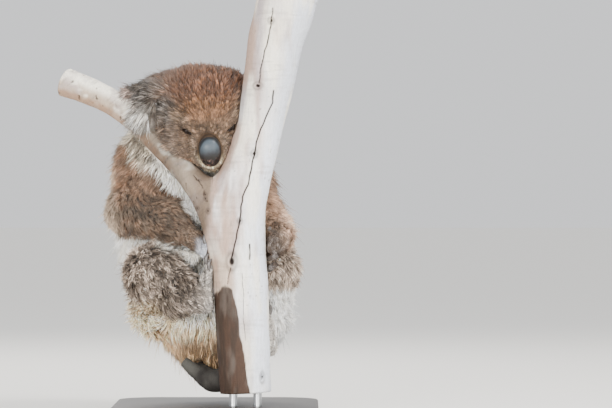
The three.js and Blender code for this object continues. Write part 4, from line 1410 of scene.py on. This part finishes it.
def base_board(finish):
    """The base: a rounded rectangle's outline carried up a profile with a 3 mm rounded upper edge, and
    closed flat above and below."""
    low, high = (np.array(v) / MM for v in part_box("stand_base"))
    half, radius, sides, edge = (high - low)[:2] / 2, 60.0, 40, 3
    drawn_in = [0.002, 0.002, 1]  # takes a ring to the middle, which closes the face
    quarter = np.linspace(0, math.pi / 2, sides)
    turn = np.concatenate([quarter + n * math.pi / 2 for n in range(4)])
    outward = np.column_stack([np.cos(turn), np.sin(turn)])
    corner = np.repeat(np.array([[1, 1], [-1, 1], [-1, -1], [1, -1]]), sides, axis=0) * (half - radius)
    profile = [(60, 0), (1.0, 0), (0, 1.0)]
    for b in np.linspace(0, math.pi / 2, 7):
        profile.append((edge - edge * math.cos(b), high[2] - edge + edge * math.sin(b)))
    profile.append((60, high[2]))
    rings = [
        np.column_stack([corner + outward * (radius - inset), np.full(len(turn), z)]) for inset, z in profile
    ]
    rings = [rings[0] * drawn_in] + rings + [rings[-1] * drawn_in]
    points = np.concatenate(rings) + [0, AXIS_TO_CENTRE, 0]
    return put_down(
        "base_board", points, tube_faces(len(rings), len(turn)), finish, "board", ["stand_base"],
    )


def rod_piece(side, finish):
    """One rod of the stand: a straight round bar in its solid's own box."""
    node = "stand_rod_" + ("right" if side < 0 else "left")
    low, high = (np.array(v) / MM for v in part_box(node))
    middle, radius = (low + high)[:2] / 2 + [0, AXIS_TO_CENTRE], (high - low)[0] / 2
    points, quads = swept(
        [[*middle, low[2] + 1, radius], [*middle, high[2] - 1, radius]], 6, 40, (0, 1, 0), edge=1.0,
    )
    return put_down(node + "_bar", points, quads, finish, "rod", [node])


# ------------------------------------------------------------------ the coat

# coat pieces: the parts that each covers, how many locks, and rings in a lock
COATS = {
    "coat_face": (["face"], 19500, 2),
    "coat_crown": (["head"], 17500, 2),
    "coat_ear_right": (["ear_right"], 9500, 2),
    "coat_ear_left": (["ear_left"], 2500, 2),
    "coat_neck": (["neck"], 7500, 2),
    "coat_back": (["back"], 12500, 2),
    "coat_front": (["torso", "flank_fold"], 15500, 2),
    "coat_arm_right": (["upper_arm_right", "forearm_right", "hand_right"], 19000, 2),
    "coat_arm_left": (["upper_arm_left", "forearm_left", "hand_left"], 12000, 2),
    "coat_leg_right": (["thigh_right", "shin_right", "foot_right"], 12400, 3),
    "coat_leg_left": (["thigh_left", "shin_left", "foot_left"], 8000, 3),
}


LIMB_ENDS = {
    "upper_arm": ("shoulder", "elbow"), "forearm": ("elbow", "wrist"), "thigh": ("hip", "knee"),
    "shin": ("knee", "ankle"),
}


def lie_of_coat(points, d):
    """Which way the hair lies: away from the nose over the head, out from the root over the ears, down
    the back and belly, and along each limb from the body to the paw, blended by the parts' shares."""
    w = shares(d, 9.0)
    x, _, u = from_head(points)
    total = np.zeros((len(points), 3))
    for n, name in enumerate(NAMES):
        part, _, side = name.rpartition("_")
        limb = LIMBS.get(side)
        if name == "head":
            way = unit(points - on_head(0, 78, -24)) + [0, 0.0, -0.12]
        elif name == "neck":
            way = np.array([-0.15, 0.1, -1.0]) + 0.5 * unit((points - [-20, 100, 390]) * [1, 1, 0])
        elif name in ("torso", "flank_fold"):
            way = np.array([0.0, -0.12, -1.0])
        elif part == "ear":
            s = limb["side"]
            middle = 30 if s < 0 else 8
            way = unit(points - on_head(s * 42, 6 if s < 0 else -26, middle + 8))
            droop = ease(u, middle + 2, middle - 8) * ease(s * x, 50, 70)
            hang = unit(points - on_head(s * 72, 10, middle + 6)) + [0, 0, -0.5]
            way = way + droop[:, None] * (hang - way)
        elif part == "hand":
            way = np.array([limb["side"] * 0.2, -0.3, -0.2]) + unit(points - np.array(limb["wrist"]))
        elif part == "foot":
            way = unit(points - np.array(limb["ankle"])) + [0, 0, 0.5]
        else:
            a, b = (np.array(limb[end], float) for end in LIMB_ENDS[part])
            way = unit(b - a) + [0, 0, -0.45]
            if part == "upper_arm":
                way = way + np.array([0.7 * limb["side"], 0, 0.2])
            if part == "forearm":
                way = way + np.array([0, 0, 0.35])
        total += w[:, n, None] * way
    return total


def tufts(points, size):
    """The nearest tuft's centre for each place, and three fixed random numbers of that tuft: one centre
    lies at random in each cell of a lattice as wide as the tuft."""
    q = points / size[:, None]
    base = np.floor(q).astype(np.int64)
    best, centre, luck = np.full(len(q), 1e9), np.zeros_like(q), np.zeros_like(q)
    for step in np.ndindex(3, 3, 3):
        cell = base + np.array(step) - 1
        spot = cell + np.stack([lattice(cell, 200 + n) for n in range(3)], 1)
        off = np.sum((spot - q) ** 2, axis=1)
        closer = off < best
        best = np.where(closer, off, best)
        centre[closer] = spot[closer]
        luck[closer] = np.stack([lattice(cell[closer], 300 + n) for n in range(3)], 1)
    return centre * size[:, None], luck


def unfold(points):
    """A flat map of a piece's skin: each place's direction from the piece's middle, measured in its
    half-sizes, laid out on a square by folding the lower half of an octahedron outwards."""
    low, high = points.min(0), points.max(0)
    n = (points - (low + high) / 2) / np.maximum((high - low) / 2, 1e-6)
    n = n / np.abs(n).sum(axis=1, keepdims=True)
    flat = n[:, :2].copy()
    under = n[:, 2] < 0
    flat[under] = (1 - np.abs(n[under][:, ::-1][:, 1:])) * np.where(n[under][:, :2] >= 0, 1, -1)
    return 0.5 + 0.48 * flat


def lock_mesh(path, normals, width, colours, patches):
    """Closed three-sided locks: at each place along a lock's path a flat triangle of section as wide
    as the lock is there, all coming to a point at the tip, with a cap at the root."""
    count, places = path.shape[:2]
    rings = places - 1
    ahead = unit(np.gradient(path, axis=1))
    across = unit(np.cross(ahead, normals[:, None]))
    over = np.cross(across, ahead)
    shape = np.array([1.0, 0.92, 0.62, 0.5])[:rings] if rings > 2 else np.array([1.0, 0.72])
    half = (width[:, None] * shape[None])[..., None]
    section = [(1.0, -0.25), (0.0, 0.62), (-1.0, -0.25)]
    body = np.stack(
        [path[:, :rings] + half * (a * across[:, :rings] + b * over[:, :rings]) for a, b in section],
        axis=2,
    )
    points = np.concatenate([body.reshape(count, -1, 3), path[:, -1:]], axis=1)
    size = rings * 3 + 1
    faces = [[0, 1, 2]]
    for r in range(rings - 1):
        for a in range(3):
            b = (a + 1) % 3
            faces += [[3 * r + a, 3 * r + 3 + a, 3 * r + 3 + b], [3 * r + a, 3 * r + 3 + b, 3 * r + b]]
    faces += [[3 * rings - 3 + a, size - 1, 3 * rings - 3 + (a + 1) % 3] for a in range(3)]
    faces = np.array(faces)
    all_faces = (faces[None] + (np.arange(count) * size)[:, None, None]).reshape(-1, 3)
    place = np.concatenate([np.repeat(np.arange(rings) / rings, 3), [1.0]])
    corner = np.concatenate([np.tile([-1.0, 0.0, 1.0], rings), [0.0]])
    spread = np.stack([corner * 0.0013, (place - 0.5) * 0.0026], 1)
    marks = np.concatenate([np.repeat(colours[:, :rings], 3, axis=1), colours[:, -1:]], axis=1)
    uv = (patches[:, None] + spread[None])[:, faces.reshape(-1)].reshape(-1, 2)
    return points.reshape(-1, 3), all_faces, marks.reshape(-1, 3), uv


def push_out(distance, path, clear):
    """Points of a path that come nearer than they should to a surface are moved out along its slope."""
    flat = path.reshape(-1, 3)
    d = distance(flat)
    near = d < clear
    if near.any():
        flat[near] += (clear - d[near])[:, None] * slope(distance, flat[near])
    return flat.reshape(path.shape)


BACK_FROM, BACK_LIMIT = 165, 244  # where the back begins, and how far back its hair reaches freely
BACK_HELD = 0.6  # how much of the reach beyond that is pressed in
PAW_DENSITY = 2.2  # how much thicker the locks stand on the paws


def skin_regions(points, triangles):
    """The corners, area and region of each of the skin's triangles, and the skin's direction at each
    point. The regions are the parts, with the face and the back as regions of their own."""
    corners = points[triangles]
    middle = corners.mean(axis=1)
    cross = np.cross(corners[:, 1] - corners[:, 0], corners[:, 2] - corners[:, 0])
    owner = np.array(NAMES)[part_distances(middle).argmin(axis=1)].astype("<U16")
    owner[(owner == "head") & (face_share(*from_head(middle)) > 0.25)] = "face"
    owner[(owner == "torso") & (middle[:, 1] > BACK_FROM)] = "back"
    normals = np.zeros_like(points)
    for n in range(3):
        np.add.at(normals, triangles[:, n], cross)
    return corners, np.linalg.norm(cross, axis=1) / 2, owner, unit(normals)[triangles]


def scattered(rng, skin, regions, count):
    """Roots spread evenly by area over some regions, thicker on the paws: their places, the skin's
    direction there and five random numbers each. None is in the wood, on the nose or in an eye."""
    corners, area, owner, normals = skin
    chosen = np.flatnonzero(np.isin(owner, regions))
    paws = np.char.startswith(owner[chosen], "hand") | np.char.startswith(owner[chosen], "foot")
    weight = area[chosen] * np.where(paws, PAW_DENSITY, 1)
    total = np.cumsum(weight)
    spot = (np.arange(count) + rng.random(count)) / count * total[-1]
    pick = chosen[np.searchsorted(total, spot).clip(0, len(chosen) - 1)]
    a, b = rng.random((2, count))
    a, b = np.where(a + b > 1, 1 - a, a), np.where(a + b > 1, 1 - b, b)
    share = np.stack([1 - a - b, a, b], 1)[..., None]
    roots, ways = (corners[pick] * share).sum(1), unit((normals[pick] * share).sum(1))
    luck = rng.random((count, 5))
    x, f, u = from_head(roots)
    nose = (np.abs(x + NOSE_ASIDE) / NOSE_RIM) ** 2.5 + (np.abs(u - NOSE_U) / 21.2) ** 2.5
    on_nose, in_eye = (nose < 1.1) & (f > 60), (nearer_slit(x, u) < 1.7) & (f > 44)
    keep = (wood_distance(roots) > 0.3) & ~on_nose & ~in_eye
    return roots[keep], ways[keep], luck[keep]


def styled(roots, normals, luck):
    """The locks on some roots: their length, lift, half width, curl and tufts, and how much each root
    belongs to the rump and to the right leg. The parts' figures hold, but the face's hair is short,
    most of all round the eyes, and longer towards the ear; the ears have a fringe; the chest's bulge
    is sleek; the rump's hair is long; there is less near a paw; it is longer where the nape, the back
    edge of the leg and its lower hem hang over; and one lock in thirty stands out as a stray."""
    px, _, pz = roots.T
    x, f, u = from_head(roots)
    d = part_distances(roots)
    wide, w = np.abs(x), shares(d)
    length, lift, width, tuft, curl = (by_part(d, kind) for kind in COAT_FIGURES[1:6])
    on_face = face_share(x, f, u) * owned(w, "head")
    face_length = 5.0 + 4.5 * ease(u, -20, 26) + 3.5 * ease(wide, 26, 48)
    face_length = face_length + 8 * ease(-x, 44, 54) * ease(u, -10, 2) * ease(u, 48, 36)
    length *= 1 - 0.42 * owned(w, "head") * ease(u, 62, 34) * ease(wide, 44, 30)
    draw(on_face, (length, face_length), (lift, 20), (width, 0.5), (tuft, 3.0))
    length *= 1 - 0.7 * bell(nearer_slit(x, u) / 3.5) * on_face
    fringe = 0.35 * ease(wide, 84, 108) + 0.7 * ease(u, 30, 20) * ease(wide, 62, 74)
    length *= 1 + owned(w, "ear_right", "ear_left") * np.minimum(fringe, 0.8)
    length += 8 * on_face * ease(u, -57, -64) * ease(wide, 30, 18)
    draw(on_bulge(roots) * owned(w, "torso"), (length, 15), (tuft, 5.5), (lift, 22), (width, 0.8))
    rump = ease(pz, 144, 130) * (1 - owned(w, "foot_right", "foot_left"))
    draw(rump, (length, 30), (lift, 21), (width, 1.0), (tuft, 8.5), (curl, 0.5))
    length *= 1 + 0.3 * ease(pz, 112, 78) * rump
    off_paw = d[:, [NAMES.index(kind + n) for kind in ("hand_", "foot_") for n in LIMBS]].min(axis=1)
    length *= 1 - 0.5 * ease(off_paw, 11, 1)
    length += 9 * ease(-px, 108, 128) * ease(pz, 188, 165) * (1 - rump)
    length += 26 * owned(w, "neck") * ease(-px, 56, 70) * ease(pz, 402, 418)
    leg = owned(w, "thigh_right", "shin_right")
    length += 11 * leg * ease(pz, 168, 152)
    stray = (luck[:, 2] > 0.965) * (1 - on_face)
    centre, tuft_luck = tufts(roots, tuft)
    return SimpleNamespace(
        roots=roots, normals=normals, luck=luck, d=d, length=length * (1 + 0.35 * stray),
        lift=lift + 14 * stray, width=width * (1 - 0.35 * stray), curl=curl, centre=centre,
        tuft_luck=tuft_luck, rump=rump, leg=leg,
    )


def lock_path(locks, places):
    """Each lock's line: from just under the skin it rises at its lift and bends towards the lie of the
    coat, drawn in to its tuft's centre and curled from side to side. It is kept clear of the skin and
    the wood, and the back's strays are pressed in."""
    roots, normals, luck, tuft_luck = locks.roots, locks.normals, locks.luck, locks.tuft_luck
    length = locks.length * (0.8 + 0.3 * tuft_luck[:, 0] + 0.2 * (luck[:, 0] - 0.5))
    lift = np.radians(locks.lift + 16 * (tuft_luck[:, 1] - 0.5) + 10 * (luck[:, 1] - 0.5))
    way = lie_of_coat(roots, locks.d)
    way = unit(way - (way * normals).sum(1, keepdims=True) * normals)
    side_way = np.cross(normals, way)
    calm = 1 - 0.5 * locks.rump * ease(roots[:, 2], 96, 116) * ease(roots[:, 0], -78, -58)
    veer = np.radians(calm * (46 * (tuft_luck[:, 2] - 0.5) + 22 * (luck[:, 2] - 0.5)))[:, None]
    cos, sin = np.cos(veer), np.sin(veer)
    way, side_way = way * cos + side_way * sin, side_way * cos - way * sin
    path = [roots - normals * 0.8]
    for s0, s1 in zip(places[:-1], places[1:]):
        tilt = (lift * (1.5 - 1.0 * (s0 + s1) / 2))[:, None]
        path.append(
            path[-1] + (length * (s1 - s0))[:, None] * (np.cos(tilt) * way + np.sin(tilt) * normals)
        )
    path = np.stack(path, 1)
    to_centre = locks.centre - roots
    to_centre -= (to_centre * normals).sum(1, keepdims=True) * normals
    gathered = (calm * (0.5 + 0.3 * luck[:, 3]))[:, None, None] * (places**1.4)[None, :, None]
    path += gathered * to_centre[:, None]
    phase = (tuft_luck[:, 0] + 0.25 * luck[:, 4]) * 2 * math.pi
    swing = np.sin(phase[:, None] + places[None] * 5.2) - np.sin(phase)[:, None]
    path += (locks.curl[:, None] * swing)[..., None] * side_way[:, None]
    path[:, 1:] = push_out(skin_distance, path[:, 1:], 0.7)
    path[:, 1:] = push_out(wood_distance, path[:, 1:], 1.0)
    path[..., 1] -= BACK_HELD * np.maximum(path[..., 1] - BACK_LIMIT, 0)
    return path, calm


def lock_colours(locks, places, calm):
    """The colours along each lock: the marking at its root, dark at the root except where it is pale,
    with whole tufts and single locks lighter or darker, and a little greyer at the tip."""
    d, luck, tuft_luck = locks.d, locks.luck, locks.tuft_luck
    base = marking(locks.roots)
    crisp = calm * (1 + 0.7 * owned(shares(d), "head") + 0.5 * locks.leg)
    strand = np.exp(crisp * (0.85 * (tuft_luck[:, 1] - 0.5) + 0.9 * (luck[:, 4] - 0.5)))
    streak = 0.5 * (tuft_luck[:, 2] > 0.84) - 0.35 * (tuft_luck[:, 2] < 0.2)
    strand = (strand * (1 + (1 - locks.rump) * streak * by_part(d, "streaks")))[:, None, None]
    root_tone = by_part(d, "roots")
    draw(paleness(base), (root_tone, 0.95))
    root_tone = root_tone[:, None]
    tone = root_tone + (1.15 - root_tone) * places[None] ** 0.9
    colours = base[:, None] * tone[..., None] * (1 + (strand - 1) * (0.4 + 0.6 * places)[None, :, None])
    grey = colours.mean(axis=2, keepdims=True)
    return colours + (grey * 1.05 - colours) * 0.22 * (places**3)[None, :, None]


def grow_coat(skin_points, triangles):
    """The coat's pieces: locks on roots scattered over the skin, in tufts."""
    rng = np.random.default_rng(SEED)
    skin = skin_regions(skin_points, triangles)
    for name, (regions, count, rings) in COATS.items():
        locks = styled(*scattered(rng, skin, regions, count))
        places = np.linspace(0, 1, rings + 1)
        path, calm = lock_path(locks, places)
        width, colours = locks.width * (0.8 + 0.4 * locks.luck[:, 3]), lock_colours(locks, places, calm)
        yield name, *lock_mesh(path, locks.normals, width, colours, unfold(locks.roots))


# ------------------------------------------------------------------ putting it together

EYE = eye_finish()
FLESH = [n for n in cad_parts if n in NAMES]

skin_points, skin_triangles = body_skin()
hide = marking(skin_points)
# painted shade: the skin seen between the locks is darkened to half the coat's colour, less where the coat is
# pale
hide = hide * (0.5 + 0.4 * paleness(hide))[:, None]
put_down("skin", skin_points, skin_triangles, skin_finish(), "coat", FLESH, hide)
fur = fur_finish()
for name, points, faces, marks, uv in grow_coat(skin_points, skin_triangles):
    put_down(name, points, faces, fur, "coat", (), marks, uv)

nose_pad()
eyeball("eye_right", -1)
eyeball("eye_left", 1)
all_claws(horn_finish())

live_wood = (wood_marks, bark_finish("Gum_bark", 3.0, 0.6, 0.72), "bark")
dead_wood = (dead_marks, bark_finish("Dead_wood", 2.0, 1.0, 0.85), "dark_bark")
trunk_first, branch_first = (TRUNK_WOOD, BRANCH_WOOD), (BRANCH_WOOD, TRUNK_WOOD)
perch_piece("perch_trunk", TRUNK, 420, 176, (0, 1, 0), trunk_relief, *live_wood, trunk_first, math.pi / 2)
perch_piece("perch_branch", BRANCH, 230, 84, (0, 0, 1), branch_relief, *live_wood, branch_first, math.pi)
perch_piece("perch_seat", SEAT, 110, 48, (0, 0, 1), dead_relief, *dead_wood)
perch_piece("perch_snag", SNAG, 40, 36, (0, 0, 1), dead_relief, *dead_wood)
base_board(lacquer_finish())
steel = steel_finish()
rod_piece(-1, steel)
rod_piece(1, steel)

# ------------------------------------------------------------------ floor, light and camera


SKY = 1.0  # brightness of the sky at the horizon


def studio():
    """A pale floor, a pale sky a quarter brighter overhead than at the horizon, so that the floor meets
    it, a large soft key light above to the right, a wide low fill from the left, a small one from the
    right, and a light behind and above that edges the coat."""
    floor_mesh = bpy.data.meshes.new("floor")
    floor_mesh.from_pydata([(-40, -40, 0), (40, -40, 0), (40, 40, 0), (-40, 40, 0)], [], [(0, 1, 2, 3)])
    floor = placed("floor", floor_mesh)
    material, tree = finish_of("Studio_floor_paper")
    settings = {"Base Color": (*linear("#efede8"), 1), "Roughness": 0.9, "Specular IOR Level": 0.1}
    paper = add(tree, "ShaderNodeBsdfPrincipled", settings)
    show(tree, paper)
    floor_mesh.materials.append(material)
    world = bpy.data.worlds.new("Studio")
    bpy.context.scene.world = world
    world.use_nodes = True
    sky = world.node_tree
    place = add(sky, "ShaderNodeTexCoord")
    height = add(sky, "ShaderNodeSeparateXYZ", links={"Vector": (place, "Generated")})
    strength = add(
        sky, "ShaderNodeMapRange", {"From Min": 0.0, "From Max": 1.0, "To Min": SKY, "To Max": SKY * 1.24},
        {"Value": (height, "Z")},
    )
    sky.nodes["Background"].inputs["Color"].default_value = (0.97, 0.98, 1.0, 1)
    sky.links.new(strength.outputs["Result"], sky.nodes["Background"].inputs["Strength"])
    for name, spot, size, power, colour in (
        ("key", (1.4, -1.5, 2.3), 1.0, 90, (1.0, 0.985, 0.96)),
        ("fill", (-0.9, -2.9, 0.3), 1.6, 150, (1.0, 0.98, 0.95)),
        ("edge", (-0.5, 1.9, 2.0), 1.2, 45, (1.0, 0.97, 0.92)),
        ("low fill", (0.95, -1.9, 0.3), 0.9, 26, (1.0, 0.98, 0.95)),
    ):
        light = bpy.data.lights.new(name, "AREA")
        light.shape, light.size, light.energy, light.color = "DISK", size, power, colour
        lamp = placed(name, light)
        lamp.location = spot
        aim = mathutils.Vector((0, 0, 0.3)) - lamp.location
        lamp.rotation_euler = aim.to_track_quat("-Z", "Y").to_euler()


def viewpoint():
    """The camera: level, 5 m in front of the trunk's axis and 301 mm above the floor."""
    camera = bpy.data.cameras.new("camera")
    camera.sensor_width, camera.lens = 36.0, 210.08
    camera.clip_start, camera.clip_end = 0.1, 100
    holder = placed("camera", camera)
    holder.location = (0.1274, -5.075, 0.301)
    holder.rotation_euler = (math.pi / 2, 0, 0)
    bpy.context.scene.camera = holder


studio()
viewpoint()
